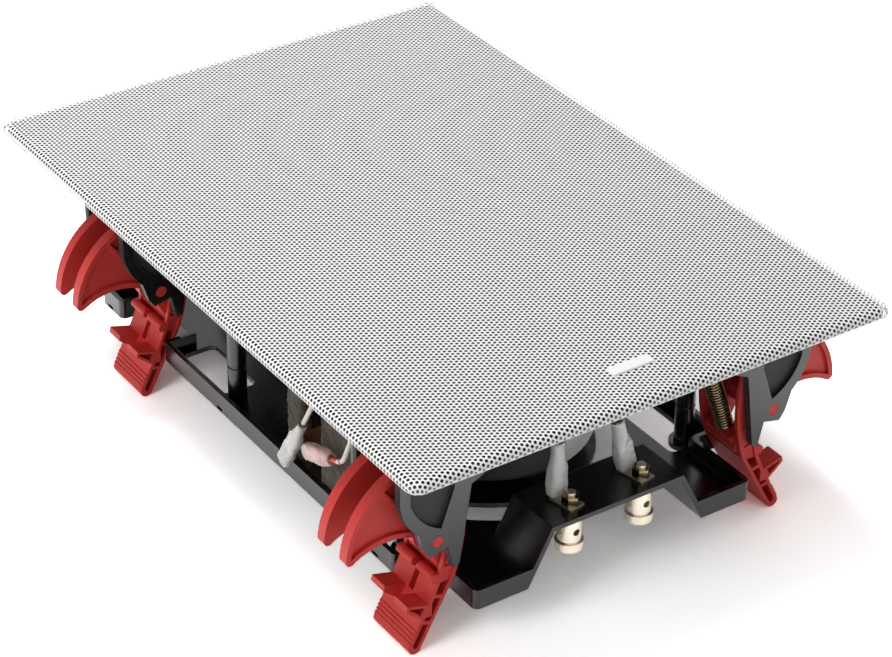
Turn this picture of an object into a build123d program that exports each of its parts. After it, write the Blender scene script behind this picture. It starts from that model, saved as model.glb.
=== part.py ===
"""In-wall loudspeaker: grille, frame, two drivers, crossover, rear tray and four sprung wall clamps."""
import os
from math import cos, hypot, radians, sin, tan

from build123d import *

os.makedirs("parts", exist_ok=True)

# Frame of reference: Z = 0 is the wall's face, +Z points into the room, -Y is the terminal end
# All sizes are in millimetres

# Grille, its cloth and its blank badge
grille_width = 235.0
grille_length = 340.0
grille_top_z = 5.5
grille_rim_z = 1.0
grille_sheet = 0.9
grille_corner_r = 6.0
grille_edge_r = 3.5
scrim_thickness = 0.5
scrim_margin = 3.5
badge_width = 20.5
badge_depth = 6.0
badge_thickness = 0.8
badge_corner_r = 1.0
badge_inset = 23.0

# Front frame: flange over the wall, neck in the cut-out, baffle behind
flange_gap = 1.1
flange_chamfer = 2.2
neck_width = 207.0
neck_length = 312.0
neck_wall = 2.5
neck_corner_r = 6.0
baffle_top_z = -4.0
baffle_thickness = 4.0
magnet_r = 4.0
magnet_thickness = 2.0
magnet_inset = 8.0
magnet_row_y = 95.0

# Woofer
woofer_y = -50.0
woofer_flange = 9.0
woofer_clearance = 0.6
basket_sheet = 1.6
basket_flange_thickness = 1.5
basket_shoulder_z = -12.0
basket_ledge_r = 50.0
basket_ledge_z = -30.0
basket_floor_z = -46.0
basket_windows = 6
basket_spoke_width = 14.0
cone_outer_r = 62.0
cone_depth = 20.0
cone_sheet = 0.8
surround_width = 8.8
surround_sheet = 0.7
dust_cap_r = 21.0
dust_cap_height = 6.0
dust_cap_sheet = 0.6
coil_r = 16.0
coil_wall = 0.6
coil_gap = 0.8
coil_length = 31.0
spider_sheet = 0.6
spider_wave = 1.2
spider_waves = 4
top_plate_r = 44.0
top_plate_thickness = 5.0
ferrite_r = 44.5
ferrite_bore_r = 20.0
ferrite_thickness = 18.0
back_plate_thickness = 4.0
magnet_can_r = 47.0
magnet_can_sheet = 1.5
woofer_screw_count = 6
woofer_screw_turn = 0.0
woofer_screw_inset = 3.8

# Tweeter
tweeter_y = 95.0
tweeter_r = 47.0
tweeter_cutout_r = 38.0
tweeter_plate_thickness = 2.0
tweeter_throat_r = 15.0
tweeter_throat_depth = 4.5
tweeter_dome_height = 5.0
tweeter_dome_sheet = 0.5
tweeter_magnet_r = 30.0
tweeter_magnet_depth = 14.0
tweeter_magnet_gap = 0.3
tweeter_cup_depth = 34.0
tweeter_cup_wall = 2.0
tweeter_screw_count = 4
tweeter_screw_turn = 45.0
tweeter_screw_inset = 4.5

# Screws
screw_r = 1.7
screw_head_r = 3.2
screw_head_height = 1.8
screw_length = 9.0
clamp_screw_length = 7.5
screw_gap = 0.05

# Rear tray, its bridge for the terminals and the columns that carry it
tray_half_width = 84.3
notch_half_width = 70.4
tray_front_y = -144.6
tray_back_y = 143.3
front_notch_gap = 1.1
back_notch_near_gap = 2.4
back_notch_far_gap = 10.4
tray_drop = 80.0
tray_rim_height = 9.3
tray_wall = 2.2
tray_floor = 2.4
tray_corner_r = 3.0
bridge_rise = 26.2
bridge_half_width = 33.3
bridge_foot_half_width = 46.9
bridge_depth = 27.6
bridge_sheet = 2.2
hub_disc_r = 48.0
hub_opening_r = 60.0
hub_spoke_width = 16.0
side_opening_inner_x = 61.0
side_opening_margin = 4.5
side_opening_r = 3.0
front_opening_y = -79.0
front_opening_length = 48.0
back_opening_y = 60.0
back_opening_length = 38.0
rim_slot_length = 4.6
rim_slot_height = 1.5
rim_slot_lift = 0.6
rim_slot_ys = (-92.4, 34.0, 134.8)
column_r = 4.3
column_pad_r = 6.5
column_groove_depth = 0.5
column_groove_height = 1.3
column_groove_lift = 19.1
column_places = ((72.0, -97.0), (75.0, 33.8), (74.0, 133.0))

# Terminals
terminal_x = 17.9
terminal_inset = 9.1
post_r = 5.2
post_length = 18.6
post_collar_r = 6.1
post_collar_height = 4.2
post_groove = 0.7
post_hole_r = 1.6
post_hole_lift = 9.8
post_blind_hole = 2.4
stud_r = 2.0
stud_rise = 6.5
stud_gap = 0.05
nut_flats = 6.8
nut_height = 4.2
tag_thickness = 0.8
tag_width = 8.0
tag_reach = 8.4
tag_direction = 100.0
blade_rise = 7.0
blade_width = 6.3
sleeve_width = 9.0
sleeve_depth = 6.4
sleeve_height = 16.0
sleeve_wall = 0.6
sleeve_lift = 1.3
sleeve_neck_r = 2.8
sleeve_neck_height = 9.0
receptacle_thickness = 2.6
receptacle_margin = 1.0
crimp_r = 1.9
right_sleeve_lean = 13.6
lead_r = 1.1

# Crossover
board_width = 84.0
board_length = 62.0
board_thickness = 1.6
board_y = 98.0
board_lift = 6.0
board_post_r = 3.0
board_post_inset = 4.0
inductor_x = 24.0
inductor_y = 108.0
inductor_r = 13.5
inductor_bore_r = 5.0
inductor_height = 12.0
inductor_flange_r = 15.2
inductor_flange = 1.4
capacitor_r = 6.5
capacitor_length = 27.0
capacitor_seat_gap = 0.1
capacitor_row_y = 84.0
capacitor_row_x = 18.0
capacitor_middle_y = 112.0
resistor_length = 24.0
resistor_width = 8.0
resistor_x = 26.0
resistor_y = 72.0

# Damping felt inside the tray's left wall
felt_inner_x = 74.5
felt_thickness = 6.8
felt_height = 64.0
felt_end_y = -17.0
felt_gap_y = -37.0
felt_gap = 13.0
felt_length = 68.0
felt_edge_r = 3.2

# Woofer terminal strip, which passes through the gap in the felt, and the sleeves at its end
strip_z = -64.0
strip_thickness = 1.6
strip_gap = 0.5
strip_end_x = 84.3
strip_sleeve_gap = 0.3
strip_seat_gap = 0.1
woofer_sleeve_mouths = ((-26.2, -78.2), (-45.4, -61.2))
woofer_sleeve_turns = (30.3, 70.5)
woofer_sleeve_heights = (24.0, 12.0)
woofer_receptacle_inset = 2.0

# Wall clamps: two along each long side, each with a bracket, an arm, a latch and a spring
clamp_ys = {"front": -121.5, "back": 100.0}
clamp_half_width = 17.4
cheek_thickness = 3.7
cheek_recess = 2.2
bracket_top = 4.0
bracket_basket_gap = 4.9
bracket_outer_x = 103.0
bracket_screw_inset = 5.0
bracket_screw_offset = 9.0
pin_x = 84.9
pin_drop = 43.3
pin_r = 2.6
pin_gap = 0.05

# Bracket outline: offsets from the arm's pin, outwards and upwards
cheek_shoulder = (17.8, 23.5)
cheek_bend = (13.1, 11.2)
cheek_waist = (9.2, 6.5)
cheek_outer_prong = ((6.3, -2.5), (3.5, -6.6))
cheek_crotch = (-4.9, -4.5)
cheek_inner_prong = ((-7.6, -16.2), (-10.5, -14.6))
cheek_wing = ((-15.6, 21.8), (-30.9, 29.3))
recess_top_drop = 6.0
recess_inner = (-7.5, 23.1)
recess_apex = (-1.6, 5.9)
recess_bend = (7.0, 12.0)
recess_outer = (13.0, 22.7)

# Clamp arm: a pair of ribbed sectors on a hub, with a tail that the spring pushes
arm_r = 40.0
arm_centre = (-1.7, -2.6)
arm_plate_offset = 8.0
arm_plate = 5.0
arm_pocket = 1.5
arm_rim = 2.4
arm_hub_r = 7.0
arm_start = -2.0
arm_end = 68.0
arm_rib = 52.0
arm_rib_width = 2.0
arm_tip_r = 2.2
arm_arch_root = 6.0
arm_arch_top = (20.5, 3.4)
arm_hub_inset = 0.5
arm_ear_width = 7.0
tail = (-9.4, -18.2)
tail_r = 4.6

# Clamp spring, from a shelf in the bracket to the arm's tail
spring_top = (-24.7, 25.3)
spring_r = 4.0
spring_wire = 0.9
spring_seat_width = 8.0
spring_seat_rise = 0.8
spring_shelf = 3.0
spring_shelf_width = 10.0

# Latch outline: offsets from the arm's pin, outwards and upwards
latch_top_inner = (-14.4, 20.3)
latch_back = (-16.0, -0.7)
latch_waist_inner = (-11.2, -23.9)
latch_heel = (4.7, -53.5)
latch_toe = (7.4, -55.7)
latch_tip = (10.4, -51.9)
latch_pad_top = (4.4, -39.5)
latch_ledge = (1.1, -33.5)
latch_waist_outer = (-3.0, -23.9)
latch_belly = (-7.3, -2.7)
latch_top_outer = (-7.9, 20.3)
latch_half_width = 13.1
latch_wall = 2.0
latch_wall_recess = 0.9
latch_rim = 1.6
latch_pocket = 7.0
latch_rung = 1.6
latch_rung_turn = 15.0
latch_rungs = ((-9.7, -18.9), (-4.8, -31.5), (1.3, -42.3))
latch_pin = (-9.3, -10.2)
latch_pin_r = 1.5
latch_pin_end_gap = 0.4
latch_slot_width = 3.2
latch_slot_depth = 3.0
latch_bar = (-2.4, -22.2)
latch_bar_r = 2.2
wedge_outer = (11.1, -30.7)
wedge_tip = (11.7, -33.3)
wedge_inner_offset = 3.6
wedge_rim = 1.3
wedge_pocket = 4.0
ridge_r = 0.5
ridge_count = 4
ridge_pitch = 1.9

# Places that follow from the sizes above
frame_top_z = grille_top_z - grille_sheet - scrim_thickness
flange_width = grille_width - 2 * (grille_sheet + flange_gap)
flange_length = grille_length - 2 * (grille_sheet + flange_gap)
badge_y = badge_inset - grille_length / 2
baffle_bottom_z = baffle_top_z - baffle_thickness
tray_bottom_z = baffle_bottom_z - tray_drop
tray_floor_z = tray_bottom_z + tray_floor
bridge_top_z = tray_bottom_z + bridge_rise
bridge_under_z = bridge_top_z - bridge_sheet
terminal_y = tray_front_y + terminal_inset
woofer_axis = Axis((0, woofer_y, 0), (0, 0, 1))
tweeter_axis = Axis((0, tweeter_y, 0), (0, 0, 1))
woofer_section = Plane.XZ.offset(-woofer_y)
tweeter_section = Plane.XZ.offset(-tweeter_y)
roll_outer_r = cone_outer_r + surround_width
skirt_r = roll_outer_r + basket_sheet
woofer_cutout_r = skirt_r + woofer_clearance
woofer_r = woofer_cutout_r + woofer_flange
basket_top_z = baffle_top_z + basket_flange_thickness
cone_neck_z = basket_top_z - cone_depth
coil_outer_r = coil_r + coil_wall
top_plate_z = basket_floor_z - basket_sheet
ferrite_z = top_plate_z - top_plate_thickness
back_plate_z = ferrite_z - ferrite_thickness
can_bottom_z = back_plate_z - back_plate_thickness - magnet_can_sheet
board_z = tray_floor_z + board_lift
board_top_z = board_z + board_thickness
pin_z = baffle_bottom_z - pin_drop
bracket_under_z = baffle_bottom_z - bracket_top
bracket_near_y = woofer_y - clamp_ys["front"] - clamp_half_width
bracket_inner_x = bracket_basket_gap + max(0, skirt_r**2 - bracket_near_y**2) ** 0.5
bracket_screw_x = bracket_inner_x + bracket_screw_inset
cheek_inner = clamp_half_width - cheek_thickness
up_from = (Align.CENTER, Align.CENTER, Align.MIN)
down_from = (Align.CENTER, Align.CENTER, Align.MAX)


def keep(piece, name):
    """Label a finished piece and write it out."""
    piece.part.label = name
    export_step(piece.part, f"parts/{name}.step")


def ring_places(count, radius, centre_y, turn):
    """Points evenly spaced round a driver's axis, the first at a turn from the X axis."""
    angles = [radians(turn + 360.0 * i / count) for i in range(count)]
    return [(radius * cos(a), centre_y + radius * sin(a)) for a in angles]


def both_sides(places):
    """The points and their mirror images across the part's middle."""
    return [(side * x, y) for side in (1, -1) for x, y in places]


def screws(places, seat_z, length, name, heads_up=True):
    """A group of pan-head screws with the undersides of their heads at seat_z."""
    with BuildPart() as group:
        with Locations(*[(x, y, seat_z) for x, y in places]):
            Cylinder(screw_head_r, screw_head_height, align=up_from if heads_up else down_from)
            Cylinder(screw_r, length, align=down_from if heads_up else up_from)
    keep(group, name)


def lead_radii(points):
    """The largest even bend at each corner of a lead's route."""
    corners = [Vector(*p) for p in points]
    radii = []
    for before, here, after in zip(corners, corners[1:], corners[2:]):
        half_turn = radians((here - before).get_angle(after - here)) / 2
        radii.append(0.45 * min((here - before).length, (after - here).length) / tan(half_turn))
    return radii


def leads(routes, name):
    """A group of insulated leads, each a tube along its route."""
    with BuildPart() as group:
        for points in routes:
            with BuildLine() as route:
                FilletPolyline(*points, radius=lead_radii(points))
            with BuildSketch(Plane(origin=points[0], z_dir=Vector(*points[1]) - Vector(*points[0]))):
                Circle(lead_r)
            sweep(path=route.wires()[0])
            print(name, "bend radii", [round(r, 1) for r in lead_radii(points)])
    keep(group, name)


woofer_screw_places = ring_places(
    woofer_screw_count, woofer_r - woofer_screw_inset, woofer_y, woofer_screw_turn
)
tweeter_screw_places = ring_places(
    tweeter_screw_count, tweeter_r - tweeter_screw_inset, tweeter_y, tweeter_screw_turn
)
bracket_screw_places = both_sides(
    [(bracket_screw_x, y + turn * bracket_screw_offset) for y in clamp_ys.values() for turn in (1, -1)]
)
magnet_places = both_sides(
    [(flange_width / 2 - magnet_inset, y) for y in (-magnet_row_y, 0, magnet_row_y)]
) + [(0, turn * (flange_length / 2 - magnet_inset)) for turn in (1, -1)]

# Grille: a pan folded from one sheet
with BuildPart() as grille:
    with BuildSketch(Plane.XY.offset(grille_rim_z)):
        RectangleRounded(grille_width, grille_length, grille_corner_r)
    extrude(amount=grille_top_z - grille_rim_z)
    fillet(grille.faces().sort_by(Axis.Z)[-1].edges(), grille_edge_r)
    offset(amount=-grille_sheet, openings=grille.faces().sort_by(Axis.Z)[0])
keep(grille, "grille")

# Black cloth stretched under the grille's face
with BuildPart() as grille_scrim:
    with BuildSketch(Plane.XY.offset(frame_top_z)):
        inset = 2 * (grille_sheet + scrim_margin)
        RectangleRounded(grille_width - inset, grille_length - inset, grille_corner_r - scrim_margin)
    extrude(amount=scrim_thickness)
keep(grille_scrim, "grille_scrim")

# Blank badge on the grille's face
with BuildPart() as grille_badge:
    with BuildSketch(Plane.XY.offset(grille_top_z)):
        with Locations((0, badge_y)):
            RectangleRounded(badge_width, badge_depth, badge_corner_r)
    extrude(amount=badge_thickness)
    chamfer(grille_badge.faces().sort_by(Axis.Z)[-1].edges(), badge_thickness / 2)
keep(grille_badge, "grille_badge")

# Front frame with the driver openings, the magnet pockets and the screw holes
with BuildPart() as front_frame:
    with BuildSketch():
        RectangleRounded(flange_width, flange_length, grille_corner_r - grille_sheet - flange_gap)
    extrude(amount=frame_top_z)
    chamfer(front_frame.faces().sort_by(Axis.Z)[-1].edges(), flange_chamfer)
    with BuildSketch(Plane.XY.offset(baffle_bottom_z)):
        RectangleRounded(neck_width, neck_length, neck_corner_r)
    extrude(amount=-baffle_bottom_z)
    with BuildSketch(Plane.XY.offset(baffle_top_z)):
        RectangleRounded(neck_width - 2 * neck_wall, neck_length - 2 * neck_wall, neck_corner_r - neck_wall)
    extrude(amount=frame_top_z - baffle_top_z, mode=Mode.SUBTRACT)
    with BuildSketch(Plane.XY.offset(baffle_bottom_z)):
        with Locations((0, woofer_y)):
            Circle(woofer_cutout_r)
        with Locations((0, tweeter_y)):
            Circle(tweeter_cutout_r)
        with Locations(*woofer_screw_places, *tweeter_screw_places):
            Circle(screw_r + screw_gap)
        with Locations(*bracket_screw_places, *both_sides(column_places)):
            Circle(screw_r + screw_gap)
    extrude(amount=baffle_thickness, mode=Mode.SUBTRACT)
    with BuildSketch(Plane.XY.offset(baffle_top_z)):
        with Locations(*both_sides(column_places)):
            Circle(screw_head_r + screw_gap)
    extrude(amount=-screw_head_height, mode=Mode.SUBTRACT)
    with BuildSketch(Plane.XY.offset(frame_top_z)):
        with Locations(*magnet_places):
            Circle(magnet_r)
    extrude(amount=-magnet_thickness, mode=Mode.SUBTRACT)
keep(front_frame, "front_frame")

with BuildPart() as grille_magnets:
    with BuildSketch(Plane.XY.offset(frame_top_z)):
        with Locations(*magnet_places):
            Circle(magnet_r)
    extrude(amount=-magnet_thickness)
keep(grille_magnets, "grille_magnets")

# Woofer basket: flange, skirt, windowed cone, spider ledge and floor
with BuildPart() as woofer_basket:
    with BuildSketch(woofer_section):
        with BuildLine():
            Polyline(
                (skirt_r - basket_sheet, basket_top_z),
                (woofer_r, basket_top_z),
                (woofer_r, baffle_top_z),
                (skirt_r, baffle_top_z),
                (skirt_r, basket_shoulder_z),
                (basket_ledge_r + 2 * basket_sheet, basket_ledge_z),
                (basket_ledge_r, top_plate_z),
                (coil_outer_r + 2 * coil_gap, top_plate_z),
                (coil_outer_r + 2 * coil_gap, basket_floor_z),
                (basket_ledge_r - 2 * basket_sheet, basket_floor_z),
                (basket_ledge_r - 2 * basket_sheet, basket_ledge_z),
                (basket_ledge_r, basket_ledge_z),
                (skirt_r - basket_sheet, basket_shoulder_z),
                close=True,
            )
        make_face()
    revolve(axis=woofer_axis)
    with BuildSketch(Plane.XY.offset(basket_ledge_z + basket_sheet)):
        with Locations((0, woofer_y)):
            Circle(skirt_r - 2 * basket_sheet)
            Circle(basket_ledge_r + basket_sheet, mode=Mode.SUBTRACT)
            with PolarLocations(0, basket_windows):
                with Locations((skirt_r / 2, 0)):
                    Rectangle(skirt_r, basket_spoke_width, mode=Mode.SUBTRACT)
    extrude(amount=basket_shoulder_z - basket_ledge_z - 2 * basket_sheet, mode=Mode.SUBTRACT)
    with BuildSketch(Plane.XY.offset(basket_top_z)):
        with Locations(*woofer_screw_places):
            Circle(screw_r + screw_gap)
    extrude(amount=-basket_flange_thickness, mode=Mode.SUBTRACT)
keep(woofer_basket, "woofer_basket")

# Woofer cone, a straight-sided paper cone glued to the coil former
with BuildPart() as woofer_cone:
    with BuildSketch(woofer_section):
        with BuildLine():
            Polyline(
                (coil_outer_r, cone_neck_z),
                (cone_outer_r, basket_top_z),
                (cone_outer_r, basket_top_z + cone_sheet),
                (coil_outer_r, cone_neck_z + 2 * cone_sheet),
                close=True,
            )
        make_face()
    revolve(axis=woofer_axis)
keep(woofer_cone, "woofer_cone")

# Rubber half-roll surround between the cone's edge and the basket's flange
with BuildPart() as woofer_surround:
    roll_r = surround_width / 2
    roll_middle_r = cone_outer_r + roll_r
    roll_z = basket_top_z + cone_sheet
    with BuildSketch(woofer_section):
        with BuildLine():
            CenterArc((roll_middle_r, roll_z), roll_r, 0, 180)
            Line((roll_middle_r - roll_r, roll_z), (roll_middle_r - roll_r + surround_sheet, roll_z))
            CenterArc((roll_middle_r, roll_z), roll_r - surround_sheet, 0, 180)
            Line((roll_middle_r + roll_r - surround_sheet, roll_z), (roll_middle_r + roll_r, roll_z))
        make_face()
        with BuildLine():
            Polyline(
                (roll_outer_r - surround_sheet, roll_z - cone_sheet),
                (woofer_r - 2 * woofer_screw_inset, roll_z - cone_sheet),
                (woofer_r - 2 * woofer_screw_inset, roll_z),
                (roll_outer_r - surround_sheet, roll_z),
                close=True,
            )
        make_face()
        with BuildLine():
            Polyline(
                (cone_outer_r - 2 * cone_sheet, roll_z),
                (cone_outer_r + surround_sheet, roll_z),
                (cone_outer_r + surround_sheet, roll_z + surround_sheet),
                (cone_outer_r - 2 * cone_sheet, roll_z + surround_sheet),
                close=True,
            )
        make_face()
    revolve(axis=woofer_axis)
keep(woofer_surround, "woofer_surround")


def dome(base_r, height, sheet, centre_y, base_z, name):
    """A spherical cap of even sheet, open below."""
    sphere_r = (base_r**2 + height**2) / (2 * height)
    with BuildPart() as cap:
        with Locations((0, centre_y, base_z + height - sphere_r)):
            Sphere(sphere_r)
            Sphere(sphere_r - sheet, mode=Mode.SUBTRACT)
        split(bisect_by=Plane.XY.offset(base_z), keep=Keep.TOP)
    keep(cap, name)


# Dust cap over the voice coil
cone_slope = (cone_depth - cone_sheet) / (cone_outer_r - coil_outer_r)
cap_z = cone_neck_z + 2 * cone_sheet + cone_slope * (dust_cap_r - coil_outer_r)
dome(dust_cap_r, dust_cap_height, dust_cap_sheet, woofer_y, cap_z, "woofer_dust_cap")

# Voice coil on its former, in the magnet's gap
with BuildPart() as woofer_voice_coil:
    with BuildSketch(Plane.XY.offset(cone_neck_z + 2 * cone_sheet)):
        with Locations((0, woofer_y)):
            Circle(coil_outer_r)
            Circle(coil_r, mode=Mode.SUBTRACT)
    extrude(amount=-coil_length)
keep(woofer_voice_coil, "woofer_voice_coil")

# Spider: a corrugated cloth ring between the former and the basket's ledge
with BuildPart() as woofer_spider:
    wave_length = (basket_ledge_r - 2 * basket_sheet - coil_outer_r) / (2 * spider_waves)
    with BuildSketch(woofer_section):
        ridge = [
            (coil_outer_r + wave_length * i, basket_ledge_z + spider_wave * (i % 2))
            for i in range(2 * spider_waves + 1)
        ]
        with BuildLine():
            Polyline(
                *ridge,
                (basket_ledge_r - basket_sheet / 2, basket_ledge_z),
                (basket_ledge_r - basket_sheet / 2, basket_ledge_z + spider_sheet),
                *[(r, z + spider_sheet) for r, z in reversed(ridge)],
                close=True,
            )
        make_face()
    revolve(axis=woofer_axis)
keep(woofer_spider, "woofer_spider")

# Magnet circuit: top plate, ferrite ring, back plate with the pole, and the zinc-plated can round them
with BuildPart() as woofer_top_plate:
    with BuildSketch(Plane.XY.offset(ferrite_z)):
        with Locations((0, woofer_y)):
            Circle(top_plate_r)
            Circle(coil_outer_r + coil_gap, mode=Mode.SUBTRACT)
    extrude(amount=top_plate_thickness)
keep(woofer_top_plate, "woofer_top_plate")

with BuildPart() as woofer_magnet:
    with BuildSketch(Plane.XY.offset(back_plate_z)):
        with Locations((0, woofer_y)):
            Circle(ferrite_r)
            Circle(ferrite_bore_r, mode=Mode.SUBTRACT)
    extrude(amount=ferrite_thickness)
keep(woofer_magnet, "woofer_magnet")

with BuildPart() as woofer_back_plate:
    with Locations((0, woofer_y, back_plate_z)):
        Cylinder(ferrite_r, back_plate_thickness, align=down_from)
        Cylinder(coil_r - coil_gap, top_plate_z - back_plate_z, align=up_from)
keep(woofer_back_plate, "woofer_back_plate")

with BuildPart() as woofer_magnet_can:
    with Locations((0, woofer_y, can_bottom_z)):
        Cylinder(magnet_can_r, top_plate_z - can_bottom_z, align=up_from)
    fillet(woofer_magnet_can.faces().sort_by(Axis.Z)[0].edges(), 2 * magnet_can_sheet)
    with Locations((0, woofer_y, can_bottom_z + magnet_can_sheet)):
        Cylinder(
            magnet_can_r - magnet_can_sheet,
            top_plate_z - can_bottom_z - magnet_can_sheet,
            align=up_from,
            mode=Mode.SUBTRACT,
        )
keep(woofer_magnet_can, "woofer_magnet_can")

screws(woofer_screw_places, basket_top_z, screw_length, "woofer_screws")

# Terminal strip from the magnet's can out through the gap in the felt
with BuildPart() as woofer_terminal_strip:
    with BuildSketch(Plane.XY.offset(strip_z)):
        with Locations((-strip_end_x / 2, felt_gap_y)):
            Rectangle(strip_end_x, felt_gap - 2 * strip_gap)
        with Locations((0, woofer_y)):
            Circle(magnet_can_r + strip_seat_gap, mode=Mode.SUBTRACT)
    extrude(amount=strip_thickness / 2, both=True)
keep(woofer_terminal_strip, "woofer_terminal_strip")

# Tweeter: waveguide plate, dome, magnet and rear cup
with BuildPart() as tweeter_faceplate:
    plate_top_z = baffle_top_z + tweeter_plate_thickness
    throat_z = plate_top_z - tweeter_throat_depth
    with BuildSketch(tweeter_section):
        with BuildLine():
            Polyline(
                (tweeter_throat_r, throat_z),
                (tweeter_throat_r, throat_z - tweeter_plate_thickness),
                (tweeter_cutout_r - woofer_clearance, throat_z - tweeter_plate_thickness),
                (tweeter_cutout_r - woofer_clearance, baffle_top_z),
                (tweeter_r, baffle_top_z),
                (tweeter_r, plate_top_z),
                (tweeter_cutout_r - 2 * tweeter_plate_thickness, plate_top_z),
            )
            horn_r = (tweeter_cutout_r + tweeter_throat_r) / 2 - tweeter_plate_thickness
            ThreePointArc(
                (tweeter_cutout_r - 2 * tweeter_plate_thickness, plate_top_z),
                (horn_r, throat_z + tweeter_throat_depth / 3),
                (tweeter_throat_r, throat_z),
            )
        make_face()
    revolve(axis=tweeter_axis)
    with BuildSketch(Plane.XY.offset(plate_top_z)):
        with Locations(*tweeter_screw_places):
            Circle(screw_r + screw_gap)
    extrude(amount=-tweeter_plate_thickness, mode=Mode.SUBTRACT)
keep(tweeter_faceplate, "tweeter_faceplate")

dome_z = throat_z - tweeter_plate_thickness
dome(tweeter_throat_r, tweeter_dome_height, tweeter_dome_sheet, tweeter_y, dome_z, "tweeter_dome")

with BuildPart() as tweeter_magnet:
    with Locations((0, tweeter_y, dome_z)):
        Cylinder(tweeter_magnet_r, tweeter_magnet_depth, align=down_from)
keep(tweeter_magnet, "tweeter_magnet")

with BuildPart() as tweeter_rear_cup:
    cup_inner_r = tweeter_magnet_r + tweeter_magnet_gap
    with BuildSketch(Plane.XY.offset(dome_z)):
        with Locations((0, tweeter_y)):
            Circle(cup_inner_r + tweeter_cup_wall)
    extrude(amount=-tweeter_cup_depth)
    fillet(tweeter_rear_cup.faces().sort_by(Axis.Z)[0].edges(), tweeter_cup_wall)
    with BuildSketch(Plane.XY.offset(dome_z)):
        with Locations((0, tweeter_y)):
            Circle(cup_inner_r)
    extrude(amount=tweeter_cup_wall - tweeter_cup_depth, mode=Mode.SUBTRACT)
keep(tweeter_rear_cup, "tweeter_rear_cup")

screws(tweeter_screw_places, plate_top_z, screw_length, "tweeter_screws")

# Rear tray: a moulded frame with a low rim, notches for the clamps and a bridge for the terminals
front_notch_end_y = clamp_ys["front"] + latch_half_width + front_notch_gap
back_notch_start_y = clamp_ys["back"] - latch_half_width - back_notch_near_gap
back_notch_end_y = clamp_ys["back"] + latch_half_width + back_notch_far_gap
tray_half = [
    (notch_half_width, tray_front_y),
    (notch_half_width, front_notch_end_y),
    (tray_half_width, front_notch_end_y),
    (tray_half_width, back_notch_start_y),
    (notch_half_width, back_notch_start_y),
    (notch_half_width, back_notch_end_y),
    (tray_half_width, back_notch_end_y),
    (tray_half_width, tray_back_y),
]
slope_run = (bridge_foot_half_width - bridge_half_width) / bridge_rise
slope_wall = bridge_sheet * hypot(1, slope_run)
with BuildPart() as rear_tray:
    with BuildSketch(Plane.XY.offset(tray_bottom_z)):
        with BuildLine():
            Polyline(*tray_half, *[(-x, y) for x, y in reversed(tray_half)], close=True)
        make_face()
    extrude(amount=tray_rim_height)
    outer_corners = rear_tray.edges().filter_by(Axis.Z)
    fillet(outer_corners, tray_corner_r)
    with BuildSketch(Plane.XY.offset(tray_floor_z)):
        with BuildLine():
            Polyline(*tray_half, *[(-x, y) for x, y in reversed(tray_half)], close=True)
        make_face()
        offset(amount=-tray_wall, kind=Kind.INTERSECTION, mode=Mode.REPLACE)
    extrude(amount=tray_rim_height, mode=Mode.SUBTRACT)
    # The way under the bridge, then the bridge's folded sheet
    bridge_plane = Plane.XZ.offset(-tray_front_y)
    inner_foot = bridge_foot_half_width - slope_wall
    inner_top = bridge_half_width + slope_run * bridge_sheet - slope_wall
    with BuildSketch(bridge_plane):
        with BuildLine():
            Polyline(
                (-inner_foot, tray_bottom_z),
                (-inner_top, bridge_under_z),
                (inner_top, bridge_under_z),
                (inner_foot, tray_bottom_z),
                close=True,
            )
        make_face()
    extrude(amount=-bridge_depth, mode=Mode.SUBTRACT)
    with BuildSketch(bridge_plane):
        with BuildLine():
            Polyline(
                (-bridge_foot_half_width, tray_bottom_z),
                (-bridge_half_width, bridge_top_z),
                (bridge_half_width, bridge_top_z),
                (bridge_foot_half_width, tray_bottom_z),
                (inner_foot, tray_bottom_z),
                (inner_top, bridge_under_z),
                (-inner_top, bridge_under_z),
                (-inner_foot, tray_bottom_z),
                close=True,
            )
        make_face()
    extrude(amount=-bridge_depth)
    # Openings in the floor: four sectors round the woofer's magnet and two slots in each side
    with BuildSketch(Plane.XY.offset(tray_bottom_z)):
        with Locations((0, woofer_y)):
            Circle(hub_opening_r)
            Circle(hub_disc_r, mode=Mode.SUBTRACT)
            Rectangle(2 * hub_opening_r, hub_spoke_width, mode=Mode.SUBTRACT)
            Rectangle(hub_spoke_width, 2 * hub_opening_r, mode=Mode.SUBTRACT)
        opening_width = tray_half_width - tray_wall - side_opening_margin - side_opening_inner_x
        opening_x = side_opening_inner_x + opening_width / 2
        with Locations(*both_sides([(opening_x, front_opening_y)])):
            RectangleRounded(opening_width, front_opening_length, side_opening_r)
        with Locations(*both_sides([(opening_x, back_opening_y)])):
            RectangleRounded(opening_width, back_opening_length, side_opening_r)
        with Locations(*both_sides(column_places)):
            Circle(column_pad_r, mode=Mode.SUBTRACT)
            Circle(screw_r + screw_gap)
    extrude(amount=tray_floor, mode=Mode.SUBTRACT)
    # Slots near the foot of the rim, stud holes in the bridge and posts under the crossover
    slot_z = tray_bottom_z + rim_slot_lift
    slot_x = tray_half_width - tray_wall / 2
    with Locations(*[(x, y, slot_z) for x, y in both_sides([(slot_x, y) for y in rim_slot_ys])]):
        Box(2 * tray_wall, rim_slot_length, rim_slot_height, align=up_from, mode=Mode.SUBTRACT)
    with BuildSketch(Plane.XY.offset(bridge_top_z)):
        with Locations((terminal_x, terminal_y), (-terminal_x, terminal_y)):
            Circle(stud_r + stud_gap)
    extrude(amount=-bridge_sheet, mode=Mode.SUBTRACT)
    with Locations((0, board_y, tray_floor_z)):
        with GridLocations(board_width - 2 * board_post_inset, board_length - 2 * board_post_inset, 2, 2):
            Cylinder(board_post_r, board_lift, align=up_from)
keep(rear_tray, "rear_tray")

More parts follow.
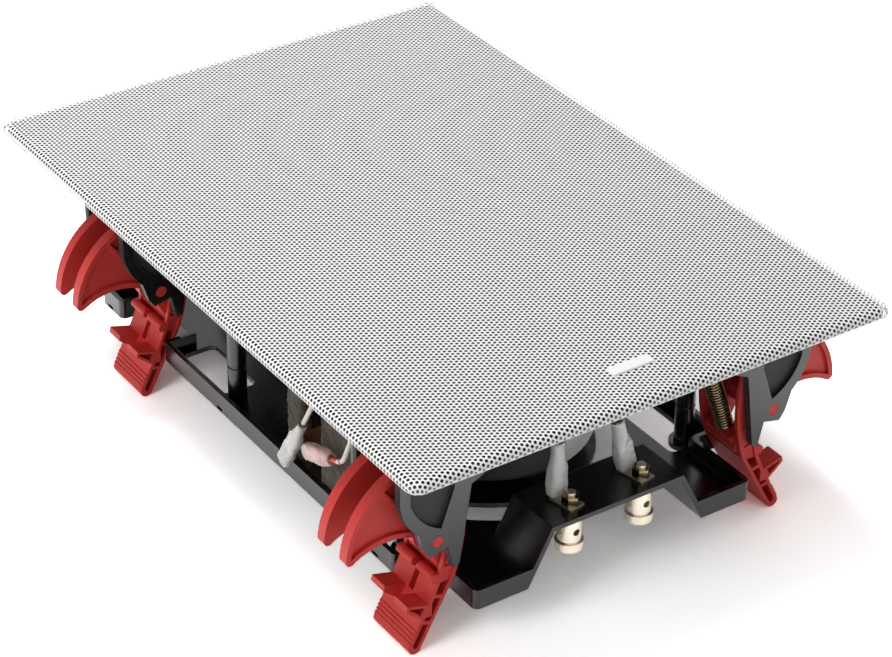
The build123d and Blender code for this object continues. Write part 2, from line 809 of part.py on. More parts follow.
# Columns that hang the tray from the baffle, each with a ring groove
with BuildPart() as tray_columns:
    column_height = baffle_bottom_z - tray_floor_z
    with Locations(*[(x, y, tray_floor_z) for x, y in both_sides(column_places)]):
        Cylinder(column_r, column_height, align=up_from)
        Cylinder(screw_r + screw_gap, screw_length, align=up_from, mode=Mode.SUBTRACT)
    with Locations(*[(x, y, tray_floor_z + column_groove_lift) for x, y in both_sides(column_places)]):
        Cylinder(column_r, column_groove_height, mode=Mode.SUBTRACT)
        Cylinder(column_r - column_groove_depth, column_groove_height)
    with Locations(*[(x, y, baffle_bottom_z) for x, y in both_sides(column_places)]):
        Cylinder(screw_r + screw_gap, screw_length, align=down_from, mode=Mode.SUBTRACT)
keep(tray_columns, "tray_columns")

screws(both_sides(column_places), baffle_top_z - screw_head_height, screw_length, "frame_screws")
screws(both_sides(column_places), tray_bottom_z, screw_length, "tray_screws", heads_up=False)

# Binding posts under the bridge: a studded barrel with a wire hole and two blind holes, and a collar
terminal_places = [(terminal_x, terminal_y), (-terminal_x, terminal_y)]
with BuildPart() as binding_posts:
    post_bottom_z = bridge_under_z - post_length
    with Locations(*[(x, y, bridge_under_z) for x, y in terminal_places]):
        Cylinder(post_r, post_length, align=down_from)
    with Locations(*[(x, y, post_bottom_z) for x, y in terminal_places]):
        Cylinder(post_collar_r, post_collar_height, align=up_from)
    fillet(binding_posts.faces().sort_by(Axis.Z)[0:2].edges(), post_groove)
    with Locations(*[(x, y, post_bottom_z + post_collar_height) for x, y in terminal_places]):
        Cylinder(post_r, post_groove, align=up_from, mode=Mode.SUBTRACT)
        Cylinder(post_r - post_groove, post_groove, align=up_from)
    with Locations(*[(x, y, post_bottom_z + post_hole_lift) for x, y in terminal_places]):
        Cylinder(post_hole_r, 3 * post_r, rotation=(90, 0, 0), mode=Mode.SUBTRACT)
        with Locations((post_r, 0, 0), (-post_r, 0, 0)):
            Cylinder(post_hole_r, 2 * post_blind_hole, rotation=(0, 90, 0), mode=Mode.SUBTRACT)
    with Locations(*[(x, y, bridge_under_z) for x, y in terminal_places]):
        Cylinder(stud_r, bridge_sheet + stud_rise, align=up_from)
keep(binding_posts, "binding_posts")


terminal_leans = (right_sleeve_lean, 0)
tag_turn = radians(tag_direction)
tag_along = (cos(tag_turn), sin(tag_turn), 0)
blade_reach = tag_reach - tag_thickness / 2


def terminal_plane(place, z):
    """A level plane at a terminal, with its X axis along the terminal's tag."""
    return Plane(origin=(*place, z), x_dir=tag_along)


def terminal_blade_plane(place, lean):
    """The plane at the foot of a terminal's blade, which leans towards the left side."""
    foot = (
        place[0] + blade_reach * tag_along[0],
        place[1] + blade_reach * tag_along[1],
        bridge_top_z + tag_thickness,
    )
    return Plane(origin=foot, x_dir=tag_along, z_dir=(-sin(radians(lean)), 0, cos(radians(lean))))


# Tags under the nuts, each with a blade standing up
with BuildPart() as terminal_tags:
    for place, lean in zip(terminal_places, terminal_leans):
        with BuildSketch(terminal_plane(place, bridge_top_z)):
            with Locations((tag_reach / 2 - tag_width / 4, 0)):
                Rectangle(tag_reach + tag_width / 2, tag_width)
            Circle(stud_r + stud_gap, mode=Mode.SUBTRACT)
        extrude(amount=tag_thickness)
        with BuildSketch(terminal_blade_plane(place, lean).offset(-2 * tag_thickness)):
            Rectangle(tag_thickness, blade_width)
        extrude(amount=blade_rise + tag_thickness)
    split(bisect_by=Plane.XY.offset(bridge_top_z))
keep(terminal_tags, "terminal_tags")

with BuildPart() as terminal_nuts:
    for place in terminal_places:
        with BuildSketch(terminal_plane(place, bridge_top_z + tag_thickness)):
            RegularPolygon(nut_flats / 2, 6, major_radius=False)
            Circle(stud_r + stud_gap, mode=Mode.SUBTRACT)
        extrude(amount=nut_height)
keep(terminal_nuts, "terminal_nuts")


def receptacles(seats, name):
    """A group of push-on receptacles: a flat box from its start, then a round crimp in the neck."""
    with BuildPart() as group:
        for plane, start, height in seats:
            with BuildSketch(plane.offset(start)):
                Rectangle(receptacle_thickness, blade_width)
            extrude(amount=height - receptacle_margin - start)
            with BuildSketch(plane.offset(height - receptacle_margin)):
                Circle(crimp_r)
            extrude(amount=receptacle_margin + sleeve_neck_height)
    keep(group, name)


def sleeves(seats, name):
    """A group of clear sleeves: a hollow flat body and a round neck."""
    with BuildPart() as group:
        for plane, _, height in seats:
            with BuildSketch(plane):
                RectangleRounded(sleeve_depth, sleeve_width, sleeve_depth / 3)
            extrude(amount=height)
            with BuildSketch(plane.offset(height)):
                Circle(sleeve_neck_r)
            extrude(amount=sleeve_neck_height)
            with BuildSketch(plane):
                RectangleRounded(
                    sleeve_depth - 2 * sleeve_wall,
                    sleeve_width - 2 * sleeve_wall,
                    sleeve_depth / 3 - sleeve_wall,
                )
            extrude(amount=height - sleeve_wall, mode=Mode.SUBTRACT)
            with BuildSketch(plane.offset(height - sleeve_wall)):
                Circle(crimp_r)
            extrude(amount=sleeve_neck_height + sleeve_wall, mode=Mode.SUBTRACT)
    keep(group, name)


def sleeve_end(seat):
    """The point where a lead leaves a sleeve's neck, and one further along."""
    plane, _, height = seat
    end = plane.origin + plane.z_dir * (height + sleeve_neck_height)
    return [tuple(end), tuple(end + plane.z_dir * sleeve_neck_height)]


# Push-on receptacles on the tags' blades, and the clear sleeves over them
terminal_start = blade_rise - tag_thickness - sleeve_lift
terminal_seats = [
    (terminal_blade_plane(place, lean).offset(sleeve_lift), terminal_start, sleeve_height)
    for place, lean in zip(terminal_places, terminal_leans)
]
receptacles(terminal_seats, "terminal_receptacles")
sleeves(terminal_seats, "terminal_sleeves")

# The same on the woofer's strip, laid against its end
woofer_seats = []
for (mouth_y, mouth_z), turn, height in zip(
    woofer_sleeve_mouths, woofer_sleeve_turns, woofer_sleeve_heights
):
    sleeve_x = -(strip_end_x + strip_sleeve_gap + sleeve_depth / 2)
    along = (0, -sin(radians(turn)), cos(radians(turn)))
    mouth = Plane(origin=(sleeve_x, mouth_y, mouth_z), x_dir=(1, 0, 0), z_dir=along)
    woofer_seats.append((mouth, woofer_receptacle_inset, height))
receptacles(woofer_seats, "woofer_receptacles")
sleeves(woofer_seats, "woofer_sleeves")

# Crossover: a board on the tray's posts with two inductors, three capacitors and a resistor
with BuildPart() as crossover_board:
    with BuildSketch(Plane.XY.offset(board_z)):
        with Locations((0, board_y)):
            Rectangle(board_width, board_length)
    extrude(amount=board_thickness)
keep(crossover_board, "crossover_board")

with BuildPart() as crossover_inductors:
    inductor_places = both_sides([(inductor_x, inductor_y)])
    coil_z = board_top_z + inductor_flange
    with Locations(*[(x, y, board_top_z) for x, y in inductor_places]):
        Cylinder(inductor_flange_r, inductor_flange, align=up_from)
    with Locations(*[(x, y, coil_z) for x, y in inductor_places]):
        Cylinder(inductor_r, inductor_height, align=up_from)
    with Locations(*[(x, y, coil_z + inductor_height) for x, y in inductor_places]):
        Cylinder(inductor_flange_r, inductor_flange, align=up_from)
    with Locations(*[(x, y, board_top_z) for x, y in inductor_places]):
        bobbin_height = inductor_height + 2 * inductor_flange
        Cylinder(inductor_bore_r, bobbin_height, align=up_from, mode=Mode.SUBTRACT)
keep(crossover_inductors, "crossover_inductors")

with BuildPart() as crossover_capacitors:
    can_z = board_top_z + capacitor_seat_gap + capacitor_r
    with Locations(*[(x, y, can_z) for x, y in both_sides([(capacitor_row_x, capacitor_row_y)])]):
        Cylinder(capacitor_r, capacitor_length, rotation=(0, 90, 0))
    with Locations((0, capacitor_middle_y, can_z)):
        Cylinder(capacitor_r, capacitor_length, rotation=(90, 0, 0))
keep(crossover_capacitors, "crossover_capacitors")

with BuildPart() as crossover_resistor:
    with Locations((resistor_x, resistor_y, board_top_z)):
        Box(resistor_length, resistor_width, resistor_width, align=up_from)
keep(crossover_resistor, "crossover_resistor")

# Damping felt: two pads that stand along the left wall, with a gap for the terminal strip
felt_ends = (
    (felt_end_y, felt_gap_y + felt_gap / 2),
    (felt_gap_y - felt_gap / 2, felt_end_y - felt_length),
)
with BuildPart() as damping_felt:
    with BuildSketch(Plane.XY.offset(tray_floor_z)):
        for back, front in felt_ends:
            with Locations((-felt_inner_x - felt_thickness / 2, (back + front) / 2)):
                RectangleRounded(felt_thickness, back - front, felt_edge_r)
    extrude(amount=felt_height)
keep(damping_felt, "damping_felt")

# Leads: from the terminals and from the woofer to the crossover, and from the crossover to the tweeter
right_terminal, left_terminal = terminal_seats
first_woofer, second_woofer = woofer_seats
left_input_route = [
    *sleeve_end(left_terminal),
    (-30, -124, -20), (-40, -112, -20), (-50, -98, -28), (-57, -82, -40), (-60, -64, -54),
    (-60, -46, -68.5), (-57, -22, -74.5), (-51, 0, -76), (-44, 22, -76), (-36, 40, -72),
    (-30, 54, -63.5), (-27.5, 64, -60), (-27, 70, -63), (-27, 72, -70), (-27, 72, board_top_z),
]
right_input_route = [
    *sleeve_end(right_terminal),
    (8, -126.5, -20), (17, -123, -17), (31, -116, -20), (43, -102, -26), (53, -86, -38),
    (59, -68, -52), (60, -48, -65), (58, -26, -73), (52, -4, -76), (44, 17, -76), (35, 36, -72),
    (22, 50, -64), (12, 60, -59), (7, 68, -61), (6, 72, -69), (6, 72, board_top_z),
]
first_woofer_route = [
    *sleeve_end(first_woofer),
    (-skirt_r - 14.6, -51.5, -33), (-skirt_r - 11.6, -53.5, -21), (-skirt_r - 5.6, -55, -15.5),
    (-skirt_r + 2.4, -53, -17), (-65.5, -47, -26), (-63, -38, -36), (-61, -24, -46), (-58, -6, -56),
    (-53, 14, -63), (-47, 33, -66), (-42, 48, -63),
    (-39, 60, -59.5), (-38, 68, -61), (-38, 72, -69.5), (-38, 72, board_top_z),
]
second_woofer_route = [
    *sleeve_end(second_woofer),
    (-skirt_r - 14.6, -79.5, -36), (-skirt_r - 11.6, -79.5, -22), (-skirt_r - 5.6, -77.5, -15.5),
    (-skirt_r + 1.9, -72, -17), (-64.5, -64, -23.5), (-60, -52, -32), (-57, -38, -41),
    (-54.5, -20, -48), (-51, 0, -54), (-46, 20, -59), (-40, 38, -62),
    (-35, 53, -60), (-33.2, 64, -58.5), (-33, 70.5, -62), (-33, 72, -70),
    (-33, 72, board_top_z),
]
cup_bottom_z = dome_z - tweeter_cup_depth
tweeter_routes = [
    [(-3, 95, cup_bottom_z), (-3, 95, -50), (-5.5, 94, -60), (-3.5, 94.3, -70), (-3.5, 94.3, board_top_z)],
    [(3, 95, cup_bottom_z), (3, 95, -50), (5, 94.5, -60), (3.5, 94, -70), (3.5, 94, board_top_z)],
]
leads([left_input_route, right_input_route], "input_leads")
leads([first_woofer_route, second_woofer_route], "woofer_leads")
leads(tweeter_routes, "tweeter_leads")


def at_pin(offset):
    """The point of a clamp's side view that lies at an offset from its pin."""
    return (pin_x + offset[0], pin_z + offset[1])


def clamp_plane(side, y):
    """The upright plane through a clamp's middle, with X outwards and Y upwards."""
    return Plane(origin=(0, y, 0), x_dir=(side, 0, 0), z_dir=(0, -side, 0))


def bar_corners(start, end, width):
    """The corners of a straight bar between two points."""
    start = Vector(*start)
    end = Vector(*end)
    across = (end - start).normalized().rotate(Axis.Z, 90) * (width / 2)
    return [(p.X, p.Y) for p in (start + across, end + across, end - across, start - across)]


pin_place = at_pin((0, 0))
tail_place = at_pin(tail)
spring_start = Vector(*at_pin(spring_top))
spring_along = (Vector(*tail_place) - spring_start).normalized()
spring_length = (Vector(*tail_place) - spring_start).length - tail_r - spring_seat_rise
spring_end = spring_start + spring_along * spring_length


def spring_plane(side, y, point):
    """The plane across a clamp's spring at a point of its axis."""
    return Plane(
        origin=(side * point.X, y, point.Y),
        x_dir=(0, 1, 0),
        z_dir=(side * spring_along.X, 0, spring_along.Y),
    )


def clamp_bracket(side, y, name):
    """Two cheeks under a top plate, with recesses, a spring shelf and the latch's pivots."""
    plane = clamp_plane(side, y)
    with BuildPart() as bracket:
        with BuildSketch(plane):
            with BuildLine():
                Polyline(
                    (bracket_inner_x, baffle_bottom_z),
                    (bracket_outer_x, baffle_bottom_z),
                    at_pin(cheek_shoulder),
                )
                ThreePointArc(at_pin(cheek_shoulder), at_pin(cheek_bend), at_pin(cheek_waist))
                edge = (cheek_waist, *cheek_outer_prong, cheek_crotch, *cheek_inner_prong, *cheek_wing)
                Polyline(*[at_pin(p) for p in edge], (bracket_inner_x, baffle_bottom_z))
            make_face()
            with Locations(pin_place):
                Circle(pin_r + pin_gap, mode=Mode.SUBTRACT)
        extrude(amount=clamp_half_width, both=True)
        with BuildSketch(plane):
            with Locations((bracket_outer_x, bracket_under_z)):
                Rectangle(2 * bracket_outer_x, 2 * pin_drop, align=(Align.CENTER, Align.MAX))
        extrude(amount=cheek_inner, both=True, mode=Mode.SUBTRACT)
        with BuildSketch(plane):
            with BuildLine():
                shelf_top = spring_start - spring_along * spring_shelf
                Polyline(*bar_corners(spring_start, shelf_top, spring_shelf_width), close=True)
            make_face()
        extrude(amount=cheek_inner + cheek_thickness / 2, both=True)
        for end in (1, -1):
            with BuildSketch(plane.offset(end * clamp_half_width)):
                recess_top_z = baffle_bottom_z - recess_top_drop
                with BuildLine():
                    Polyline(
                        at_pin(recess_outer),
                        (pin_x + recess_outer[0], recess_top_z),
                        (pin_x + recess_inner[0], recess_top_z),
                        at_pin(recess_inner),
                        at_pin(recess_apex),
                    )
                    ThreePointArc(at_pin(recess_apex), at_pin(recess_bend), at_pin(recess_outer))
                make_face()
            extrude(amount=-end * cheek_recess, mode=Mode.SUBTRACT)
            with BuildSketch(plane.offset(end * cheek_inner)):
                with Locations(at_pin(latch_pin)):
                    Circle(latch_pin_r)
            pivot_length = cheek_inner - latch_half_width + latch_wall - latch_pin_end_gap
            extrude(amount=-end * pivot_length)
        with BuildSketch(Plane.XY.offset(bracket_under_z)):
            with Locations(*[(side * bracket_screw_x, y + end * bracket_screw_offset) for end in (1, -1)]):
                Circle(screw_r + screw_gap)
        extrude(amount=bracket_top, mode=Mode.SUBTRACT)
    keep(bracket, name)


def arm_sector():
    """The outline of one of an arm's plates, drawn in the sketch that calls it."""
    with BuildLine() as outline:
        arc = CenterArc(at_pin(arm_centre), arm_r, arm_start, arm_end - arm_start)
        Line(arc @ 1, pin_place)
        Line(pin_place, at_pin((arm_arch_root, 0)))
        ThreePointArc(at_pin((arm_arch_root, 0)), at_pin(arm_arch_top), arc @ 0)
    make_face(outline.edges())


def clamp_arm(side, y, name):
    """A pair of pocketed sectors joined by a hub, with trunnions and a tail with a spring seat."""
    plane = clamp_plane(side, y)
    with BuildPart() as arm:
        for end in (1, -1):
            plate = plane.offset(end * arm_plate_offset)
            with BuildSketch(plate) as sector:
                arm_sector()
                fillet(sector.vertices().sort_by_distance((*pin_place, 0))[-2:], arm_tip_r)
            extrude(amount=arm_plate / 2, both=True)
            with BuildSketch(plate.offset(end * arm_plate / 2)):
                arm_sector()
                offset(amount=-arm_rim, kind=Kind.INTERSECTION, mode=Mode.REPLACE)
                with Locations(Location((*pin_place, 0), (0, 0, arm_rib))):
                    Rectangle(2 * arm_r, arm_rib_width, mode=Mode.SUBTRACT)
            extrude(amount=-end * arm_pocket, mode=Mode.SUBTRACT)
            with BuildSketch(plate):
                with BuildLine():
                    Polyline(*bar_corners(pin_place, tail_place, arm_ear_width), close=True)
                make_face()
                with Locations(pin_place):
                    Circle(arm_hub_r)
                with Locations(tail_place):
                    Circle(tail_r)
            extrude(amount=arm_plate / 2, both=True)
        with BuildSketch(plane):
            with Locations(pin_place):
                Circle(arm_hub_r - arm_hub_inset)
            with Locations(tail_place):
                Circle(tail_r)
            with BuildLine():
                Polyline(*bar_corners(spring_end, tail_place, spring_seat_width), close=True)
            make_face()
        extrude(amount=arm_plate_offset, both=True)
        with BuildSketch(plane):
            with Locations(pin_place):
                Circle(pin_r)
        extrude(amount=clamp_half_width, both=True)
    keep(arm, name)


def latch_foot(top):
    """A latch's outline below its waist, closed by the points of the outline above it."""
    with BuildLine() as outline:
        Line(at_pin(latch_waist_inner), at_pin(latch_heel))
        ThreePointArc(at_pin(latch_heel), at_pin(latch_toe), at_pin(latch_tip))
        Polyline(*[at_pin(p) for p in (latch_tip, latch_pad_top, latch_ledge, latch_waist_outer)])
        if top:
            ThreePointArc(at_pin(latch_waist_outer), at_pin(latch_belly), at_pin(latch_top_outer))
            Line(at_pin(latch_top_outer), at_pin(latch_top_inner))
            ThreePointArc(at_pin(latch_top_inner), at_pin(latch_back), at_pin(latch_waist_inner))
        else:
            Line(at_pin(latch_waist_outer), at_pin(latch_waist_inner))
    make_face(outline.edges())


def latch_pocket_outline(top):
    """The hollow in a latch's side: its outline, drawn straight-sided, less its rim and its rungs."""
    corners = [latch_waist_inner, latch_heel, latch_toe, latch_tip]
    corners += [latch_pad_top, latch_ledge, latch_waist_outer]
    if top:
        corners += [latch_belly, latch_top_outer, latch_top_inner, latch_back]
    with BuildLine() as outline:
        Polyline(*[at_pin(p) for p in corners], close=True)
    make_face(outline.edges())
    offset(amount=-latch_rim, kind=Kind.INTERSECTION, mode=Mode.REPLACE)
    for rung in latch_rungs:
        with Locations(Location((*at_pin(rung), 0), (0, 0, latch_rung_turn))):
            Rectangle(2 * latch_half_width, latch_rung, mode=Mode.SUBTRACT)


def clamp_latch(side, y, name):
    """A sprung release lever: two side walls, a ribbed foot with a pair of wedges, and a finger pad."""
    plane = clamp_plane(side, y)
    waist_z = pin_z + latch_waist_inner[1]
    with BuildPart() as latch:
        with BuildSketch(plane):
            latch_foot(top=True)
        extrude(amount=latch_half_width, both=True)
        with BuildSketch(plane):
            with Locations((pin_x, waist_z)):
                Rectangle(pin_x, pin_drop + pin_x, align=(Align.CENTER, Align.MIN))
        extrude(amount=latch_half_width - latch_wall, both=True, mode=Mode.SUBTRACT)
        for end in (1, -1):
            face = plane.offset(end * latch_half_width)
            with BuildSketch(face):
                latch_pocket_outline(top=True)
                with Locations(at_pin(latch_pin)):
                    Circle(2 * latch_pin_r, mode=Mode.SUBTRACT)
            extrude(amount=-end * latch_wall_recess, mode=Mode.SUBTRACT)
            with BuildSketch(face):
                latch_pocket_outline(top=False)
            extrude(amount=-end * latch_pocket, mode=Mode.SUBTRACT)
            with BuildSketch(plane.offset(end * wedge_inner_offset)):
                with BuildLine():
                    root_x = latch_ledge[0] - latch_rim
                    root = ((root_x, latch_pad_top[1]), (root_x, latch_ledge[1]))
                    wedge = (latch_ledge, wedge_outer, wedge_tip, latch_pad_top, *root)
                    Polyline(*[at_pin(p) for p in wedge], close=True)
                make_face()
            extrude(amount=end * (latch_half_width - wedge_inner_offset))
            with BuildSketch(face):
                with BuildLine():
                    wedge = (latch_ledge, wedge_outer, wedge_tip, latch_pad_top)
                    Polyline(*[at_pin(p) for p in wedge], close=True)
                make_face()
                offset(amount=-wedge_rim, kind=Kind.INTERSECTION, mode=Mode.REPLACE)
            extrude(amount=-end * wedge_pocket, mode=Mode.SUBTRACT)
            with BuildSketch(face):
                with Locations(at_pin(latch_bar)):
                    Circle(latch_bar_r)
            extrude(amount=-end * (latch_half_width - latch_slot_width / 2))
        with BuildSketch(plane):
            pad_along = (Vector(*latch_pad_top) - Vector(*latch_tip)).normalized()
            pad_start = Vector(*at_pin(latch_tip))
            ridges = [pad_start + pad_along * ridge_pitch * (i + 1) for i in range(ridge_count)]
            with Locations(*ridges):
                Circle(ridge_r)
        extrude(amount=latch_half_width, both=True)
        with BuildSketch(plane):
            with BuildLine():
                slot = bar_corners(at_pin(latch_waist_outer), at_pin(latch_ledge), 2 * latch_slot_depth)
                Polyline(*slot, close=True)
            make_face()
        extrude(amount=latch_slot_width / 2, both=True, mode=Mode.SUBTRACT)
        with BuildSketch(plane):
            with Locations(at_pin(latch_pin)):
                Circle(latch_pin_r + pin_gap)
        extrude(amount=latch_half_width, both=True, mode=Mode.SUBTRACT)
    keep(latch, name)


def clamp_spring(side, y, name):
    """The sleeve of space that the clamp's coil spring fills."""
    with BuildPart() as spring:
        with BuildSketch(spring_plane(side, y, spring_start)):
            Circle(spring_r)
            Circle(spring_r - spring_wire, mode=Mode.SUBTRACT)
        extrude(amount=spring_length)
    keep(spring, name)


# The four wall clamps and their screws
for side, side_name in ((-1, "left"), (1, "right")):
    for end_name, clamp_y in clamp_ys.items():
        corner = f"{end_name}_{side_name}"
        clamp_bracket(side, clamp_y, f"clamp_bracket_{corner}")
        clamp_arm(side, clamp_y, f"clamp_arm_{corner}")
        clamp_latch(side, clamp_y, f"clamp_latch_{corner}")
        clamp_spring(side, clamp_y, f"clamp_spring_{corner}")
screws(bracket_screw_places, bracket_under_z, clamp_screw_length, "clamp_screws", heads_up=False)
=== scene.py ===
"""Looks of an in-wall speaker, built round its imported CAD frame."""
from math import cos, pi, radians, sin, sqrt, tau

import bpy
import numpy as np
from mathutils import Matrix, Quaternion, Vector


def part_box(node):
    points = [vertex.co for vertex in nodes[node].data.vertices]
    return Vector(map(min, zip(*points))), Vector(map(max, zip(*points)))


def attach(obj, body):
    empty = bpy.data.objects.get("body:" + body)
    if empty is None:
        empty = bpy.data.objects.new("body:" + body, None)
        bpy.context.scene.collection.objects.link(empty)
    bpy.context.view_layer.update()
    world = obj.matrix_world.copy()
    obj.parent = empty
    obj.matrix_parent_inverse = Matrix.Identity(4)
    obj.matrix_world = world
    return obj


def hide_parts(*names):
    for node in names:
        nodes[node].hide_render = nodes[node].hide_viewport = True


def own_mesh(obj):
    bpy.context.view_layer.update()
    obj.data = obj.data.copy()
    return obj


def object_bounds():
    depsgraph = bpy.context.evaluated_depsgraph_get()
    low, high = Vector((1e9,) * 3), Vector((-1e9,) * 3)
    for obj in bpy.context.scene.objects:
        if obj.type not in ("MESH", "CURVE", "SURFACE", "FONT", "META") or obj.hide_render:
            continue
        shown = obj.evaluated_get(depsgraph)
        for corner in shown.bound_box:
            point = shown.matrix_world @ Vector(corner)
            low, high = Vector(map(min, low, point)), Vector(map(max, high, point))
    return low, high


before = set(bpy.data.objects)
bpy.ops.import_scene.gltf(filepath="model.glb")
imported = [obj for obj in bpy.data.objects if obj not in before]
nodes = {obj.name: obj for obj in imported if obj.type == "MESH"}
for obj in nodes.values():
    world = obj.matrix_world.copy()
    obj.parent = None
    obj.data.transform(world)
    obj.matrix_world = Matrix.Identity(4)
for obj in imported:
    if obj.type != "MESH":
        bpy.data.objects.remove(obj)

bl_info = {
    "name": "In-Wall Speaker Looks",
    "version": (1, 0, 0),
    "blender": (4, 5, 0),
    "location": "View3D > Sidebar > Speaker",
    "description": "Dresses the packed in-wall speaker with its grille, cloth, springs, felt and finishes",
    "category": "Object",
}

cad_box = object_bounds()
MM = 0.001
CORNERS = [(end, side) for side in ("left", "right") for end in ("front", "back")]
SIDE_SIGN = {"left": -1, "right": 1}
# The clamps' middles along the part, and how far from them the outer faces of the cheeks start
CLAMP_Y = {"front": -121.5 * MM, "back": 100.0 * MM}
CHEEK_FACE = 16.5 * MM
# Where the woofer's can turns from its painted dark reflection to its painted bright reflection
REFLECTION_SPLIT = 5.0 * MM
# How far the roughness of plastics and metals runs each way from its middle
PLASTIC_SPREAD = 0.06
METAL_SPREAD = 0.05


def linear(hex_colour):
    """An sRGB hex colour as linear red, green, blue and alpha."""
    parts = [int(hex_colour[i:i + 2], 16) / 255 for i in (1, 3, 5)]
    return tuple(c / 12.92 if c <= 0.04045 else ((c + 0.055) / 1.055) ** 2.4 for c in parts) + (1.0,)


def add(tree, kind, inputs=None, **settings):
    """Add a node with its settings, its values and its links."""
    node = tree.nodes.new(kind)
    for name, value in settings.items():
        setattr(node, name, value)
    for socket, value in (inputs or {}).items():
        if isinstance(value, bpy.types.NodeSocket):
            tree.links.new(value, node.inputs[socket])
        else:
            node.inputs[socket].default_value = value
    return node


def start_finish(name):
    """A new empty material and its node tree."""
    finish = bpy.data.materials.new(name)
    finish.use_nodes = True
    finish.node_tree.nodes.clear()
    return finish, finish.node_tree


def end_finish(tree, shader):
    """Join a shader to the material's output."""
    add(tree, "ShaderNodeOutputMaterial", {"Surface": shader.outputs[0]})


def worked_surface(tree, grain_mm, height_mm, edge_mm):
    """The normal of a rounded-edged surface with a fine grain, and the grain itself."""
    place = add(tree, "ShaderNodeTexCoord")
    grain = add(
        tree, "ShaderNodeTexNoise",
        {"Vector": place.outputs["Object"], "Scale": 1 / (grain_mm * MM), "Detail": 1.0},
    )
    edge = add(tree, "ShaderNodeBevel", {"Radius": edge_mm * MM}, samples=4)
    bump = add(
        tree, "ShaderNodeBump",
        {"Height": grain.outputs[0], "Distance": height_mm * MM, "Normal": edge.outputs[0]},
    )
    return bump.outputs[0], grain.outputs[0]


def plastic(name, dark, light, roughness, grain_mm=0.6, height_mm=0.02, edge_mm=0.5, ior=1.5, specular=0.5):
    """A moulded plastic: two near shades, a fine mould grain and rounded arrises."""
    finish, tree = start_finish(name)
    normal, grain = worked_surface(tree, grain_mm, height_mm, edge_mm)
    low, high = roughness - PLASTIC_SPREAD, roughness + PLASTIC_SPREAD
    gloss = add(tree, "ShaderNodeMapRange", {0: grain, 3: low, 4: high}).outputs[0]
    colour = add(tree, "ShaderNodeMix", {0: grain, 6: dark, 7: light}, data_type="RGBA").outputs[2]
    shader = add(
        tree, "ShaderNodeBsdfPrincipled",
        {
            "Base Color": colour,
            "Roughness": gloss,
            "IOR": ior,
            "Specular IOR Level": specular,
            "Normal": normal,
        },
    )
    end_finish(tree, shader)
    return finish


def bracket_nylon(black):
    """Black nylon: glossy cheeks that mirror the floor, and matt spark-textured recesses inside them; the
    cheeks are painted lighter and the recesses darker, as painted light and shade.
    """
    finish, tree = start_finish("Moulded black nylon")
    normal, grain = worked_surface(tree, 4.0, 0.004, 0.5)
    place = add(tree, "ShaderNodeTexCoord").outputs["Object"]
    along = add(tree, "ShaderNodeSeparateXYZ", {0: place}).outputs["Y"]
    # How far a point lies from the middle of the nearer pair of clamps
    reaches = []
    for middle in CLAMP_Y.values():
        offset = add(tree, "ShaderNodeMath", {0: along, 1: middle}, operation="SUBTRACT").outputs[0]
        reaches.append(add(tree, "ShaderNodeMath", {0: offset}, operation="ABSOLUTE").outputs[0])
    reach = add(tree, "ShaderNodeMath", {0: reaches[0], 1: reaches[1]}, operation="MINIMUM").outputs[0]
    # The mask of the recesses, where the painted shade goes
    inside = add(tree, "ShaderNodeMath", {0: reach, 1: CHEEK_FACE}, operation="LESS_THAN").outputs[0]
    gloss = add(tree, "ShaderNodeMapRange", {0: grain, 3: 0.2, 4: 0.28}).outputs[0]
    # Painted light and shade: the cheeks are a lighter copy of the black, the recesses a darker one
    cheek_painted_light, recess_painted_shade = shade(black, 1.4), shade(black, 0.4)
    colour = add(tree, "ShaderNodeMix", {0: inside, 6: cheek_painted_light, 7: recess_painted_shade}, data_type="RGBA").outputs[2]
    shader = add(
        tree, "ShaderNodeBsdfPrincipled",
        {
            "Base Color": colour,
            "Roughness": add(tree, "ShaderNodeMix", {0: inside, 2: gloss, 3: 0.75}).outputs[0],
            "IOR": 1.53,
            "Normal": normal,
        },
    )
    end_finish(tree, shader)
    return finish


def metal(name, dark, light, roughness, grain_mm=1.5, height_mm=0.001, edge_mm=0.25):
    """An unplated or plated metal: two near shades and a fine worked surface."""
    finish, tree = start_finish(name)
    normal, grain = worked_surface(tree, grain_mm, height_mm, edge_mm)
    low, high = roughness - METAL_SPREAD, roughness + METAL_SPREAD
    gloss = add(tree, "ShaderNodeMapRange", {0: grain, 3: low, 4: high}).outputs[0]
    colour = add(tree, "ShaderNodeMix", {0: grain, 6: dark, 7: light}, data_type="RGBA").outputs[2]
    shader = add(
        tree, "ShaderNodeBsdfPrincipled",
        {
            "Base Color": colour,
            "Metallic": 1.0,
            "Roughness": gloss,
            "Normal": normal,
        },
    )
    end_finish(tree, shader)
    return finish


def can_painted_reflections():
    """A can painted dull black on its left side and white on its right side, as painted reflections of the
    dark mouldings and the bright floor.
    """
    finish, tree = start_finish("Steel can with painted dark and bright reflections")
    normal, _ = worked_surface(tree, 8.0, 0.001, 0.3)
    place = add(tree, "ShaderNodeTexCoord").outputs["Object"]
    across = add(tree, "ShaderNodeSeparateXYZ", {0: place}).outputs["X"]
    # The right side, painted white as a painted reflection of the floor; the left side is a painted dark
    # reflection
    bright_side = add(tree, "ShaderNodeMath", {0: across, 1: REFLECTION_SPLIT}, operation="GREATER_THAN").outputs[0]
    painted_dark_reflection, painted_bright_reflection = linear("#0B0A08"), linear("#FAF8F5")
    colour = add(tree, "ShaderNodeMix", {0: bright_side, 6: painted_dark_reflection, 7: painted_bright_reflection}, data_type="RGBA").outputs[2]
    shader = add(
        tree, "ShaderNodeBsdfPrincipled",
        {
            "Base Color": colour,
            "Roughness": add(tree, "ShaderNodeMix", {0: bright_side, 2: 0.6, 3: 0.25}).outputs[0],
            "Normal": normal,
        },
    )
    end_finish(tree, shader)
    return finish


